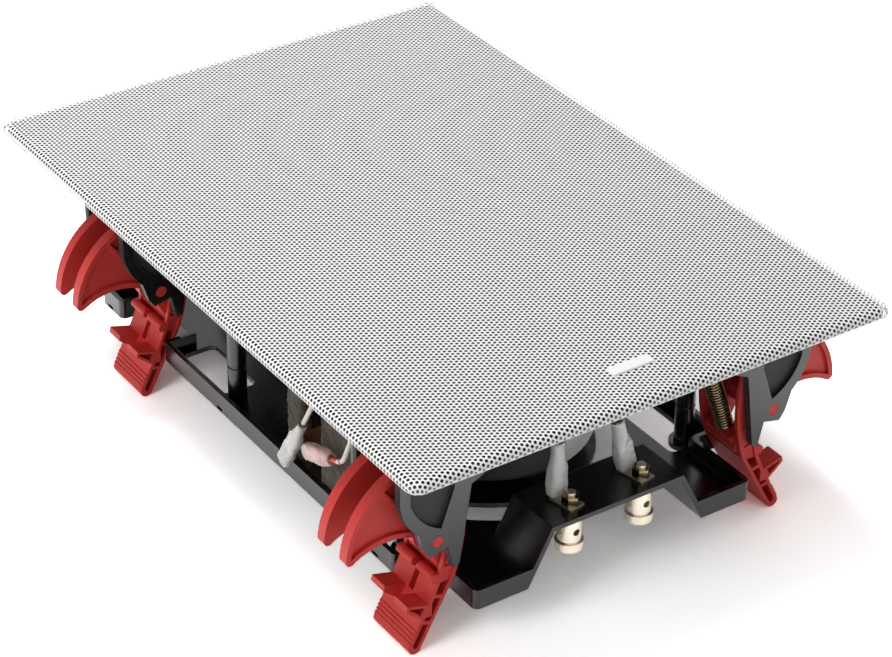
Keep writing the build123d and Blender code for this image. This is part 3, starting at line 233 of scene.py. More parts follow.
def woven_cloth(name, dark, light, thread_mm, roughness=0.9):
    """A plain weave: threads that cross over and under at an even spacing."""
    finish, tree = start_finish(name)
    place = add(tree, "ShaderNodeTexCoord").outputs["Object"]
    threads = [
        add(
            tree, "ShaderNodeTexWave",
            {"Vector": place, "Scale": 0.5 / (thread_mm * MM) / pi, "Distortion": 0.3},
            bands_direction=direction,
        ).outputs[1]
        for direction in ("X", "Y")
    ]
    weave = add(tree, "ShaderNodeMath", {0: threads[0], 1: threads[1]}, operation="MAXIMUM").outputs[0]
    bump = add(tree, "ShaderNodeBump", {"Height": weave, "Distance": 0.3 * thread_mm * MM})
    colour = add(tree, "ShaderNodeMix", {0: weave, 6: dark, 7: light}, data_type="RGBA").outputs[2]
    shader = add(
        tree, "ShaderNodeBsdfPrincipled",
        {
            "Base Color": colour,
            "Roughness": roughness,
            "Specular IOR Level": 0.2,
            "Normal": bump.outputs[0],
        },
    )
    end_finish(tree, shader)
    return finish


def clear_vinyl(name, dark, light, clearness):
    """A thin clear sleeve: see-through with a milky haze, and glossy along its folds."""
    finish, tree = start_finish(name)
    place = add(tree, "ShaderNodeTexCoord").outputs["Object"]
    grain = add(
        tree, "ShaderNodeTexNoise", {"Vector": place, "Scale": 1 / (5.0 * MM), "Detail": 1.0},
    ).outputs[0]
    folds = add(tree, "ShaderNodeBump", {"Height": grain, "Distance": 1.2 * MM})
    colour = add(tree, "ShaderNodeMix", {0: grain, 6: dark, 7: light}, data_type="RGBA").outputs[2]
    gloss = add(
        tree, "ShaderNodeBsdfPrincipled",
        {
            "Base Color": colour,
            "Roughness": add(tree, "ShaderNodeMapRange", {0: grain, 3: 0.03, 4: 0.1}).outputs[0],
            "IOR": 1.4,
            "Transmission Weight": clearness,
            "Normal": folds.outputs[0],
        },
    )
    end_finish(tree, gloss)
    return finish


def banded_vinyl(name, plain, ends):
    """White lead insulation with red marks near the connectors that it comes out of.

    Each end is a point and the mark's stops: how far from the point each colour starts.
    """
    finish, tree = start_finish(name)
    normal, grain = worked_surface(tree, 0.6, 0.01, 0.05)
    place = add(tree, "ShaderNodeTexCoord").outputs["Object"]
    dull = shade(plain, 0.94)
    colour = add(tree, "ShaderNodeMix", {0: grain, 6: dull, 7: plain}, data_type="RGBA").outputs[2]
    for point, stops in ends:
        apart = add(tree, "ShaderNodeVectorMath", {0: place, 1: point}, operation="DISTANCE")
        distance = apart.outputs["Value"]
        for start, end, mark in stops:
            past = add(tree, "ShaderNodeMath", {0: distance, 1: start}, operation="GREATER_THAN").outputs[0]
            before = add(tree, "ShaderNodeMath", {0: distance, 1: end}, operation="LESS_THAN").outputs[0]
            inside = add(tree, "ShaderNodeMath", {0: past, 1: before}, operation="MULTIPLY").outputs[0]
            colour = add(tree, "ShaderNodeMix", {0: inside, 6: colour, 7: mark}, data_type="RGBA").outputs[2]
    shader = add(
        tree, "ShaderNodeBsdfPrincipled", {"Base Color": colour, "Roughness": 0.35, "Normal": normal},
    )
    end_finish(tree, shader)
    return finish


def felt(name, dark, light, fibre_mm):
    """Pressed felt: matted fibres in two shades with a soft sheen and no gloss."""
    finish, tree = start_finish(name)
    place = add(tree, "ShaderNodeTexCoord").outputs["Object"]
    tufts = add(
        tree, "ShaderNodeTexNoise", {"Vector": place, "Scale": 1 / (6 * fibre_mm * MM), "Detail": 6.0},
    )
    fibres = add(
        tree, "ShaderNodeTexNoise",
        {"Vector": place, "Scale": 1 / (fibre_mm * MM), "Detail": 4.0, "Distortion": 2.0},
    )
    bump = add(tree, "ShaderNodeBump", {"Height": fibres.outputs[0], "Distance": fibre_mm * MM})
    shades = add(tree, "ShaderNodeMix", {0: tufts.outputs[0], 6: dark, 7: light}, data_type="RGBA").outputs[2]
    shader = add(
        tree, "ShaderNodeBsdfPrincipled",
        {
            "Base Color": shades,
            "Roughness": 1.0,
            "Specular IOR Level": 0.1,
            "Sheen Weight": 0.4,
            "Normal": bump.outputs[0],
        },
    )
    end_finish(tree, shader)
    return finish


def paint(finish, *names):
    """Give CAD nodes a finish."""
    for name in names:
        nodes[name].material_slots[0].material = finish


def new_piece(name, vertices, faces, finish, smooth=True):
    """A mesh object made from points and faces, with its finish."""
    mesh = bpy.data.meshes.new(name)
    mesh.from_pydata(vertices, [], faces)
    mesh.update()
    if smooth:
        mesh.shade_smooth()
    mesh.materials.append(finish)
    piece = bpy.data.objects.new(name, mesh)
    bpy.context.scene.collection.objects.link(piece)
    return piece


class SpeakerSizes(bpy.types.PropertyGroup):
    """Sizes of the pieces that are made here."""

    hole_pitch: bpy.props.FloatProperty(
        name="Hole Pitch", description="Distance between neighbouring holes of the grille",
        default=2.152 * MM, unit="LENGTH",
    )
    hole_diameter: bpy.props.FloatProperty(
        name="Hole Diameter", description="Diameter of the grille's holes", default=1.4 * MM, unit="LENGTH",
    )
    edge_radius: bpy.props.FloatProperty(
        name="Edge Radius", description="Radius of the grille's rolled edge", default=3.5 * MM, unit="LENGTH",
    )
    corner_radius: bpy.props.FloatProperty(
        name="Corner Radius", description="Radius of the grille's corners", default=6.0 * MM, unit="LENGTH",
    )
    sheet_thickness: bpy.props.FloatProperty(
        name="Sheet Thickness", description="Thickness of the grille's sheet",
        default=0.9 * MM, unit="LENGTH",
    )
    coil_diameter: bpy.props.FloatProperty(
        name="Coil Diameter", description="Outer diameter of a clamp's spring",
        default=8.0 * MM, unit="LENGTH",
    )
    wire_diameter: bpy.props.FloatProperty(
        name="Wire Diameter", description="Diameter of the spring's wire", default=0.9 * MM, unit="LENGTH",
    )
    coil_pitch: bpy.props.FloatProperty(
        name="Coil Pitch", description="Distance between the spring's turns",
        default=1.55 * MM, unit="LENGTH",
    )


class SpeakerColours(bpy.types.PropertyGroup):
    """Colours of the finishes that show most."""

    paint_white: bpy.props.FloatVectorProperty(
        name="Paint", description="Colour of the grille's powder coat",
        default=linear("#F5F5F4"), size=4, subtype="COLOR", min=0, max=1,
    )
    nylon_red: bpy.props.FloatVectorProperty(
        name="Clamps", description="Colour of the clamps' arms and latches",
        default=linear("#CB3832"), size=4, subtype="COLOR", min=0, max=1,
    )
    plastic_black: bpy.props.FloatVectorProperty(
        name="Mouldings", description="Colour of the tray, frame and brackets",
        default=linear("#100E0D"), size=4, subtype="COLOR", min=0, max=1,
    )
    felt_brown: bpy.props.FloatVectorProperty(
        name="Felt", description="Colour of the damping felt",
        default=linear("#4C412D"), size=4, subtype="COLOR", min=0, max=1,
    )


def shade(colour, factor):
    """A linear colour made darker or lighter."""
    return tuple(min(1.0, c * factor) for c in colour[:3]) + (1.0,)


def fold_sheet(flat, half_width, half_length, edge_r, corner_r, top_z, rim_z, lip):
    """Fold flat points over a rolled edge, down a short wall and in under it.

    Returns the folded points and how far each one lies past the start of the bend.
    """
    inner_r = corner_r - edge_r
    ax = np.abs(flat[:, 0]) - (half_width - edge_r - inner_r)
    ay = np.abs(flat[:, 1]) - (half_length - edge_r - inner_r)
    px, py = np.maximum(ax, 0), np.maximum(ay, 0)
    past = np.hypot(px, py) - inner_r + np.minimum(np.maximum(ax, ay), 0)
    span = np.maximum(np.hypot(px, py), 1e-12)
    out = np.stack([np.sign(flat[:, 0]) * px / span, np.sign(flat[:, 1]) * py / span], axis=1)
    arc = edge_r * pi / 2
    wall = top_z - edge_r - rim_z
    end = arc + wall + lip
    e = np.clip(past, 0, end)
    turn = np.minimum(e, arc) / edge_r
    reach = edge_r * np.sin(turn) - np.clip(e - arc - wall, 0, lip)
    z = top_z - edge_r * (1 - np.cos(turn)) - np.clip(e - arc, 0, wall)
    base = flat - out * np.maximum(past, 0)[:, None]
    folded = np.column_stack([base + out * (reach * (past > 0))[:, None], z])
    return folded, past, end


# How far the flat sheet reaches past the grille's outline, for the rim to be folded from
FOLD_MARGIN = 8 * MM


class SPEAKER_OT_grille(bpy.types.Operator):
    """Punch the grille's holes in a flat sheet and fold the sheet over its rolled edge"""

    bl_idname = "speaker.grille"
    bl_label = "Perforated Grille"

    def execute(self, context):
        sizes, colours = context.scene.speaker_sizes, context.scene.speaker_colours
        # Powder-coated steel: a soft white with a faint orange peel and no metal showing
        white = colours.paint_white
        coat = plastic(
            "Powder-coated steel", shade(white, 0.96), white, 0.5, grain_mm=0.8, height_mm=0.01, edge_mm=0.2,
        )
        low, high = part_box("grille")
        pitch, row = sizes.hole_pitch, sizes.hole_pitch * sqrt(3) / 2
        columns = int((high.x + FOLD_MARGIN) / row) + 1
        rows = int((high.y + FOLD_MARGIN) / pitch) + 1
        i, j = np.meshgrid(np.arange(-columns, columns + 1), np.arange(-rows, rows + 1), indexing="ij")
        centres = np.stack([i * row, (j + 0.5 * (i % 2)) * pitch], axis=2)
        # A six-sided hole with the area of the round one
        hole_r = sizes.hole_diameter / 2 * sqrt(tau / (3 * sqrt(3)))
        spokes = np.array([(cos(radians(60 * k)), sin(radians(60 * k))) for k in range(6)]) * hole_r
        flat = (centres[:, :, None, :] + spokes).reshape(-1, 2)
        fold = (high.x, high.y, sizes.edge_radius, sizes.corner_radius, high.z, low.z, sizes.sheet_thickness)
        points, past, end = fold_sheet(flat, *fold)
        _, centre_past, _ = fold_sheet(centres.reshape(-1, 2), *fold)
        first = np.arange(centres.shape[0] * centres.shape[1]).reshape(centres.shape[:2]) * 6
        faces = []
        # Holes too near the rim's end are closed
        plain_edge = end - sizes.sheet_thickness - 0.55 * sizes.hole_diameter
        for a in range(1, centres.shape[0] - 1):
            odd = int(i[a, 0] % 2)
            here = first[a, :-2]
            above = first[a, 1:-1]
            right = first[a + 1, odd:odd + len(here)]
            left = first[a - 1, odd:odd + len(here)]
            faces += [
                np.stack([here, right + 4, right + 3, here + 1], 1),
                np.stack([here + 1, above + 5, above + 4, here + 2], 1),
                np.stack([here + 2, left, left + 5, here + 3], 1),
                np.stack([here + 1, right + 3, above + 5, here + 1], 1),
                np.stack([here + 2, above + 4, left, here + 2], 1),
            ]
        quads = np.concatenate(faces)
        blank = first.ravel()[centre_past > plain_edge]
        lids = np.concatenate([
            np.stack([blank, blank + 1, blank + 2, blank + 3], 1),
            np.stack([blank, blank + 3, blank + 4, blank + 5], 1),
        ])
        quads = np.concatenate([quads, lids])
        quads = quads[(past[quads] < end).any(1)]
        used, index = np.unique(quads, return_inverse=True)
        index = index.reshape(-1, 4)
        shapes = [q[:3] if q[0] == q[3] else q for q in index.tolist()]
        sheet = new_piece("grille_sheet", points[used].tolist(), shapes, coat)
        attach(sheet, "grille_panel")
        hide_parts("grille")
        paint(coat, "grille_badge")
        return {"FINISHED"}


SCRIM_CELLS = (28, 40)
SCRIM_DROP = 0.05 * MM


class SPEAKER_OT_scrim(bpy.types.Operator):
    """Stretch the black cloth behind the grille"""

    bl_idname = "speaker.scrim"
    bl_label = "Grille Cloth"

    def execute(self, context):
        # Acoustic cloth: a thin open polyester weave, dull and dark grey through the holes
        cloth = woven_cloth("Woven polyester scrim", linear("#3A3A3B"), linear("#5C5C5D"), 0.5)
        low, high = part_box("grille_scrim")
        across, along = SCRIM_CELLS
        xs, ys = np.linspace(low.x, high.x, across + 1), np.linspace(low.y, high.y, along + 1)
        points = [(x, y, high.z - SCRIM_DROP) for y in ys for x in xs]
        step = across + 1
        faces = [
            (r * step + c, r * step + c + 1, (r + 1) * step + c + 1, (r + 1) * step + c)
            for r in range(along) for c in range(across)
        ]
        scrim = new_piece("scrim_cloth", points, faces, cloth)
        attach(scrim, "grille_panel")
        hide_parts("grille_scrim")
        return {"FINISHED"}


class SPEAKER_OT_mouldings(bpy.types.Operator):
    """Finish the black mouldings: frame, tray, columns and brackets"""

    bl_idname = "speaker.mouldings"
    bl_label = "Black Mouldings"

    def execute(self, context):
        black = context.scene.speaker_colours.plastic_black
        # ABS: near black and glossy, so that its upright walls mirror the floor
        abs_black = plastic("Moulded black ABS", shade(black, 0.7), black, 0.22, 4.0, 0.004, ior=1.54)
        paint(abs_black, "front_frame", "rear_tray", "tray_columns", "tweeter_faceplate", "tweeter_rear_cup")
        paint(bracket_nylon(black), *[f"clamp_bracket_{end}_{side}" for end, side in CORNERS])
        # Black-oxide steel: dark, with a dull metal gloss
        oxide = metal("Black-oxide steel", linear("#1B1B1C"), linear("#2A2A2B"), 0.4)
        paint(oxide, "woofer_screws", "tweeter_screws", "frame_screws", "tray_screws", "clamp_screws")
        return {"FINISHED"}


class SPEAKER_OT_clamps(bpy.types.Operator):
    """Finish the red clamp arms and latches"""

    bl_idname = "speaker.clamps"
    bl_label = "Clamp Arms and Latches"

    def execute(self, context):
        red = context.scene.speaker_colours.nylon_red
        # Nylon: a satin red with soft highlights along its rounded ribs
        dark, light = shade(red, 0.92), shade(red, 1.06)
        nylon = plastic("Moulded red nylon", dark, light, 0.5, edge_mm=0.45, specular=0.3)
        paint(nylon, *[f"clamp_arm_{end}_{side}" for end, side in CORNERS])
        paint(nylon, *[f"clamp_latch_{end}_{side}" for end, side in CORNERS])
        return {"FINISHED"}


# The spring's axis in a clamp's side view, outwards and upwards from the part's middle, and how much of it
# the arm's seat takes up
SPRING_TOP = Vector((60.2, -26.0)) * MM
SPRING_TAIL = Vector((75.5, -69.5)) * MM
SPRING_SEAT = 5.4 * MM
# Turns that lie close at each end, and the wire's steps in a turn and sides
CLOSED_TURNS = 1.5
WIRE_STEPS, WIRE_SIDES = 18, 7


class SPEAKER_OT_springs(bpy.types.Operator):
    """Wind the clamps' coil springs"""

    bl_idname = "speaker.springs"
    bl_label = "Clamp Springs"

    def execute(self, context):
        sizes = context.scene.speaker_sizes
        # Yellow-passivated spring wire: a dull brassy gloss
        wire = metal("Passivated spring wire", linear("#6F6048"), linear("#9A8A6A"), 0.22, edge_mm=0.05)
        length = (SPRING_TAIL - SPRING_TOP).length - SPRING_SEAT
        along = (SPRING_TAIL - SPRING_TOP).normalized()
        wire_r = sizes.wire_diameter / 2
        coil_r = sizes.coil_diameter / 2 - wire_r
        ends = CLOSED_TURNS
        middle = (length - 2 * wire_r - 2 * ends * sizes.wire_diameter) / sizes.coil_pitch
        turns = 2 * ends + middle
        steps, sides = WIRE_STEPS, WIRE_SIDES
        count = int(turns * steps)
        for end, side in CORNERS:
            sign = SIDE_SIGN[side]
            axis = Vector((sign * along.x, 0, along.y))
            start = Vector((sign * SPRING_TOP.x, CLAMP_Y[end], SPRING_TOP.y))
            across = Vector((0, 1, 0))
            third = axis.cross(across)
            points, faces = [], []
            for n in range(count + 1):
                turn = n / steps
                close = min(turn, ends) + max(0, turn - ends - middle)
                lift = wire_r + close * sizes.wire_diameter + (turn - close) * sizes.coil_pitch
                angle = tau * turn
                out = across * cos(angle) + third * sin(angle)
                centre = start + axis * lift + out * coil_r
                for k in range(sides):
                    bend = tau * k / sides
                    points.append(tuple(centre + (out * cos(bend) + axis * sin(bend)) * wire_r))
                if n:
                    a, b = (n - 1) * sides, n * sides
                    faces += [(a + k, a + (k + 1) % sides, b + (k + 1) % sides, b + k) for k in range(sides)]
            faces += [tuple(range(sides)), tuple(reversed(range(count * sides, (count + 1) * sides)))]
            coil = new_piece(f"coil_{end}_{side}", points, faces, wire)
            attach(coil, "chassis")
            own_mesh(coil)
            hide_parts(f"clamp_spring_{end}_{side}")
        return {"FINISHED"}


class SPEAKER_OT_terminals(bpy.types.Operator):
    """Finish the terminals and their connectors"""

    bl_idname = "speaker.terminals"
    bl_label = "Terminals"

    def execute(self, context):
        # Nickel-plated brass: bright and pale with a warm cast
        nickel = metal("Nickel-plated brass", linear("#EADFCB"), linear("#F8EFE0"), 0.3)
        paint(nickel, "binding_posts")
        # Turned brass: a dull dark yellow with sharp glints
        brass = metal("Turned brass", linear("#7A6A4E"), linear("#A69878"), 0.18)
        paint(brass, "terminal_nuts")
        # Tinned brass: soft grey with a dull shine
        tin = metal("Tinned brass", linear("#B9B4A8"), linear("#D2CDC2"), 0.3)
        paint(tin, "terminal_tags", "terminal_receptacles", "woofer_receptacles")
        return {"FINISHED"}


# Points round and along a sleeve, how slack it is, and how fast the slack turns along it
SLEEVE_GRID = (36, 30)
SLACK = 0.03
SLACK_TURN = 500


def sleeve_wall(mouth, axis, wide, sections, wall):
    """The points and faces of a thin sleeve that is lofted from its flat mouth to its round neck.

    Each section is its height, half width, half depth and squareness; the wall is closed at both ends.
    """
    deep = axis.cross(wide)
    heights, halves, depths, powers = (np.array(column) for column in zip(*sections))
    around, along = SLEEVE_GRID
    steps = np.linspace(heights[0], heights[-1], along)
    points = []
    for layer in (0, 1):
        for h in steps if layer == 0 else steps[::-1]:
            a = np.interp(h, heights, halves) - layer * wall
            b = np.interp(h, heights, depths) - layer * wall
            p = 2 / np.interp(h, heights, powers)
            for k in range(around):
                c, s = cos(tau * k / around), sin(tau * k / around)
                # A slight slackness, as in a sleeve that was pushed on by hand
                slack = 1 + SLACK * sin(3 * tau * k / around + SLACK_TURN * h) * (1 - layer)
                x = a * slack * abs(c) ** p * (1 if c > 0 else -1)
                y = b * slack * abs(s) ** p * (1 if s > 0 else -1)
                points.append(mouth + axis * h + wide * x + deep * y)
    rings = 2 * along
    faces = []
    for n in range(rings):
        a, b = n * around, (n + 1) % rings * around
        faces += [(a + k, a + (k + 1) % around, b + (k + 1) % around, b + k) for k in range(around)]
    return points, faces


# The sleeves' mouths, axes and wide sides, as in the CAD: over the terminals' blades and by the woofer's
# strip
TAG_TURN = radians(100.0)
BLADE_REACH = 8.0 * MM
SLEEVE_RISE = 2.1 * MM
TAG_THICKNESS = 0.8 * MM
TERMINAL_BODY = 16.0 * MM
TERMINAL_WALL = 0.5 * MM
WOOFER_WALL = 0.4 * MM
TERMINALS = ((17.9 * MM, -135.5 * MM, radians(13.6)), (-17.9 * MM, -135.5 * MM, 0.0))
WOOFER_SLEEVE_X = -87.8 * MM
WOOFER_SLEEVES = (
    ("first", -26.2 * MM, -78.2 * MM, radians(30.3), 24.0 * MM),
    ("second", -45.4 * MM, -61.2 * MM, radians(70.5), 12.0 * MM),
)
NECK = 9.0 * MM


def woofer_sleeve_axis(turn):
    """The direction of a woofer sleeve that leans forwards by a turn."""
    return Vector((0, -sin(turn), cos(turn)))


class SPEAKER_OT_sleeves(bpy.types.Operator):
    """Form the clear sleeves over the push-on connectors"""

    bl_idname = "speaker.sleeves"
    bl_label = "Connector Sleeves"

    def execute(self, context):
        # Soft clear vinyl: milky, with the metal showing through it and bright folds
        milky = clear_vinyl("Milky vinyl sleeve", linear("#F4F3F0"), linear("#FDFDFC"), 0.5)
        clear = clear_vinyl("Clear vinyl sleeve", linear("#F0F0EE"), linear("#FBFBFA"), 0.68)
        pink = clear_vinyl("Red-tinged vinyl sleeve", linear("#F9C9C6"), linear("#FCF0EF"), 0.66)
        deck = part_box("terminal_tags")[0].z
        tag = Vector((cos(TAG_TURN), sin(TAG_TURN), 0))
        body, neck = TERMINAL_BODY, NECK
        for number, (x, y, lean) in enumerate(TERMINALS):
            axis = Vector((-sin(lean), 0, cos(lean)))
            foot = Vector((x, y, deck)) + tag * BLADE_REACH + Vector((0, 0, TAG_THICKNESS))
            mouth = foot + axis * (SLEEVE_RISE - TAG_THICKNESS)
            wide = axis.cross(tag).normalized()
            sections = (
                (0, 4.5 * MM, 3.1 * MM, 3.4),
                (0.3 * body, 4.8 * MM, 3.3 * MM, 3.2),
                (0.72 * body, 4.6 * MM, 3.2 * MM, 3.0),
                (body, 3.5 * MM, 3.0 * MM, 2.3),
                (body + 0.3 * neck, 3.2 * MM, 2.9 * MM, 2.1),
                (body + neck, 3.1 * MM, 2.8 * MM, 2.0),
            )
            points, faces = sleeve_wall(mouth, axis, wide, sections, TERMINAL_WALL)
            sleeve = new_piece(f"terminal_sleeve_{number + 1}", points, faces, milky)
            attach(sleeve, "chassis")
            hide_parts("terminal_sleeves")
        for name, y, z, turn, height in WOOFER_SLEEVES:
            axis = woofer_sleeve_axis(turn)
            wide = axis.cross(Vector((1, 0, 0)))
            full = height + neck
            # The first is slim and ends in its neck; the second is wide nearly to its end
            if name == "first":
                sections = (
                    (0, 2.3 * MM, 1.8 * MM, 2.2),
                    (0.8 * MM, 3.2 * MM, 2.2 * MM, 2.6),
                    (2.0 * MM, 3.8 * MM, 2.5 * MM, 3.4),
                    (0.4 * full, 3.8 * MM, 2.5 * MM, 3.4),
                    (0.68 * full, 3.8 * MM, 2.5 * MM, 3.2),
                    (0.8 * full, 2.5 * MM, 2.2 * MM, 2.2),
                    (full, 2.0 * MM, 2.0 * MM, 2.0),
                )
            else:
                sections = (
                    (0, 3.4 * MM, 2.6 * MM, 2.6),
                    (0.1 * full, 3.9 * MM, 2.9 * MM, 2.8),
                    (0.5 * full, 4.1 * MM, 2.9 * MM, 3.0),
                    (0.82 * full, 4.0 * MM, 2.7 * MM, 3.0),
                    (0.95 * full, 3.3 * MM, 2.4 * MM, 2.4),
                    (full, 2.4 * MM, 2.2 * MM, 2.0),
                )
            mouth = Vector((WOOFER_SLEEVE_X, y, z))
            points, faces = sleeve_wall(mouth, axis, wide, sections, WOOFER_WALL)
            sleeve = new_piece(f"woofer_sleeve_{name}", points, faces, clear if name == "first" else pink)
            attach(sleeve, "chassis")
            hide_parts("woofer_sleeves")
        return {"FINISHED"}


class SPEAKER_OT_leads(bpy.types.Operator):
    """Finish the leads"""

    bl_idname = "speaker.leads"
    bl_label = "Leads"

    def execute(self, context):
        # Extruded vinyl: even and slightly glossy
        black = plastic("Black vinyl lead", linear("#0E0E0E"), linear("#181818"), 0.35, edge_mm=0.05)
        marks = []
        for name, y, z, turn, height in WOOFER_SLEEVES:
            end = Vector((WOOFER_SLEEVE_X, y, z)) + woofer_sleeve_axis(turn) * (height + NECK)
            stops = [(0.0, 1.6 * MM, linear("#6E2A20"))]
            if name == "second":
                stops = [(0.0, 5.0 * MM, linear("#D8332D")), (7.2 * MM, 8.8 * MM, linear("#D8332D"))]
            marks.append((tuple(end), stops))
        white = banded_vinyl("White vinyl lead", linear("#E4DCCF"), marks)
        red = plastic("Red vinyl lead", linear("#A3201D"), linear("#B92824"), 0.35, edge_mm=0.05)
        paint(black, "input_leads")
        paint(white, "woofer_leads")
        paint(red, "tweeter_leads")
        return {"FINISHED"}


# The gap between the two pads, along the part, and how far they lie inside their plain solids
FELT_GAP = (-43.5 * MM, -30.5 * MM)
FELT_INSET = 0.4 * MM
FELT_ROUND = 2.2 * MM
FELT_VOXEL = 0.8 * MM
FELT_MID = 0.6


class SPEAKER_OT_felt(bpy.types.Operator):
    """Press the felt pads that stand along the left wall"""

    bl_idname = "speaker.felt"
    bl_label = "Damping Felt"

    def execute(self, context):
        brown = context.scene.speaker_colours.felt_brown
        # Wool felt: matted fibres, dull, with a soft bloom along its edges
        finish = felt("Pressed wool felt", shade(brown, 0.55), shade(brown, 1.3), 0.5)
        low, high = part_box("damping_felt")
        spans = {"felt_front": (low.y, FELT_GAP[0]), "felt_back": (FELT_GAP[1], high.y)}
        lumps = bpy.data.textures.new("felt_lumps", "CLOUDS")
        lumps.noise_scale = 5 * MM
        fuzz = bpy.data.textures.new("felt_fuzz", "CLOUDS")
        fuzz.noise_scale = 0.9 * MM
        for name, (y0, y1) in spans.items():
            inset = FELT_INSET
            xs, ys, zs = (low.x + inset, high.x - inset), (y0 + inset, y1 - inset), (low.z, high.z - inset)
            points = [(x, y, z) for x in xs for y in ys for z in zs]
            faces = [(0, 1, 3, 2), (4, 6, 7, 5), (0, 4, 5, 1), (2, 3, 7, 6), (0, 2, 6, 4), (1, 5, 7, 3)]
            block = new_piece(name + "_block", points, faces, finish, smooth=False)
            round_edges = block.modifiers.new("round", "BEVEL")
            round_edges.width, round_edges.segments = FELT_ROUND, 3
            mat = block.modifiers.new("mat", "REMESH")
            mat.mode, mat.voxel_size = "VOXEL", FELT_VOXEL
            for texture, strength in ((lumps, 1.8 * MM), (fuzz, 0.7 * MM)):
                lump = block.modifiers.new(texture.name, "DISPLACE")
                lump.texture, lump.strength, lump.mid_level = texture, strength, FELT_MID
                lump.texture_coords = "GLOBAL"
            graph = bpy.context.evaluated_depsgraph_get()
            mesh = bpy.data.meshes.new_from_object(block.evaluated_get(graph))
            bpy.data.objects.remove(block)
            mesh.name = name
            mesh.materials.clear()
            mesh.materials.append(finish)
            mesh.shade_smooth()
            pad = bpy.data.objects.new(name, mesh)
            bpy.context.scene.collection.objects.link(pad)
            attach(pad, "chassis")
            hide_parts("damping_felt")
        return {"FINISHED"}


class SPEAKER_OT_drivers(bpy.types.Operator):
    """Finish the two drivers and the grille's magnets"""

    bl_idname = "speaker.drivers"
    bl_label = "Drivers"

    def execute(self, context):
        # Painted casting: satin and nearly black
        paint(plastic("Painted cast aluminium", linear("#17181A"), linear("#232427"), 0.45), "woofer_basket")
        # Pressed pulp: dull, fibrous and dark
        pulp = plastic("Pressed paper pulp", linear("#23211F"), linear("#34312E"), 0.8, 1.5, 0.08, 0.1)
        paint(pulp, "woofer_cone", "woofer_dust_cap")
        # Rubber: black with a soft dull shine
        rubber = plastic("Butyl rubber", linear("#0D0D0D"), linear("#161616"), 0.5, edge_mm=0.2)
        paint(rubber, "woofer_surround")
        # Enamelled wire: a deep warm copper under a clear gloss
        copper = metal("Enamelled copper winding", linear("#8E4A27"), linear("#B5683B"), 0.3, edge_mm=0.1)
        paint(copper, "woofer_voice_coil", "crossover_inductors")
        # Resin-stiffened cotton: a yellow-brown weave without gloss
        paint(woven_cloth("Impregnated cotton", linear("#8A6A32"), linear("#B48D4B"), 0.8), "woofer_spider")
        # Bright zinc on pressed steel: pale, with a soft reflection
        zinc = metal("Zinc-plated steel", linear("#C9CBCC"), linear("#E4E6E7"), 0.28)
        paint(zinc, "woofer_top_plate", "woofer_back_plate", "tweeter_magnet")
        # The can's dark and white sides are painted reflections
        paint(can_painted_reflections(), "woofer_magnet_can")
        # Fired ferrite: charcoal grey and chalky
        paint(plastic("Fired ferrite", linear("#1C1C1E"), linear("#2B2B2D"), 0.7, 1.0, 0.04), "woofer_magnet")
        # Plated magnets: bright, with a faint warm cast
        paint(metal("Nickel plate", linear("#BEB9AE"), linear("#D6D1C6"), 0.2), "grille_magnets")
        # Drawn aluminium: pale grey with a soft wide highlight
        paint(metal("Satin aluminium", linear("#AEB0B3"), linear("#C6C8CB"), 0.35), "tweeter_dome")
        return {"FINISHED"}


class SPEAKER_OT_crossover(bpy.types.Operator):
    """Finish the crossover's board and parts and the woofer's terminal strip"""

    bl_idname = "speaker.crossover"
    bl_label = "Crossover"

    def execute(self, context):
        # Solder mask: a dark green lacquer, slightly glossy
        paint(plastic("Solder-masked board", linear("#0E3A22"), linear("#15512F"), 0.35), "crossover_board")
        # Film wrapping: yellow and glossy
        paint(plastic("Wrapped film", linear("#B58A1E"), linear("#CFA22E"), 0.3), "crossover_capacitors")
        # Cement: off-white and dry
        paint(plastic("Cement ceramic", linear("#CFCABD"), linear("#E3DFD4"), 0.75), "crossover_resistor")
        # Pressed laminate: brown with a dull shine
        laminate = plastic("Phenolic laminate", linear("#5A3B1E"), linear("#734D28"), 0.5)
        paint(laminate, "woofer_terminal_strip")
        return {"FINISHED"}


CAMERA_PLACE = Vector((-0.58275, -0.86784, 0.60885))
CAMERA_AIM = Vector((-0.00982, -0.03281, -0.03494))
CAMERA_ROLL = radians(0.855)
PHOTO_WIDTH = 892
FOCAL_PIXELS = 2811.0
SENSOR = 36.0
FLOOR_REACH = 6.0
# How bright the floor looks to the camera and in reflections, by its gain and its own light, and how far
# off it turns white to the camera
FLOOR_GAIN = 2.5
FLOOR_LIFT = 0.04
FAR_WHITE = (0.8, 1.8)
WORLD_LIGHT = 0.3
# Each lamp's name, place, size and power
LAMPS = (
    ("overhead", (-0.2, 0.4, 1.45), 0.6, 15.0),
    ("left", (-1.5, -0.3, 0.9), 0.8, 8.5),
    ("front_right", (0.7, -1.5, 0.6), 0.8, 2.5),
)
LAMP_AIM = Vector((0, 0, -0.04))


def seen_rays(tree):
    """The camera's rays, and these together with the rays of reflections and clear pieces."""
    rays = add(tree, "ShaderNodeLightPath").outputs
    camera = rays["Is Camera Ray"]
    seen = camera
    for kind in ("Is Glossy Ray", "Is Transmission Ray"):
        seen = add(tree, "ShaderNodeMath", {0: seen, 1: rays[kind]}, operation="MAXIMUM").outputs[0]
    return camera, seen


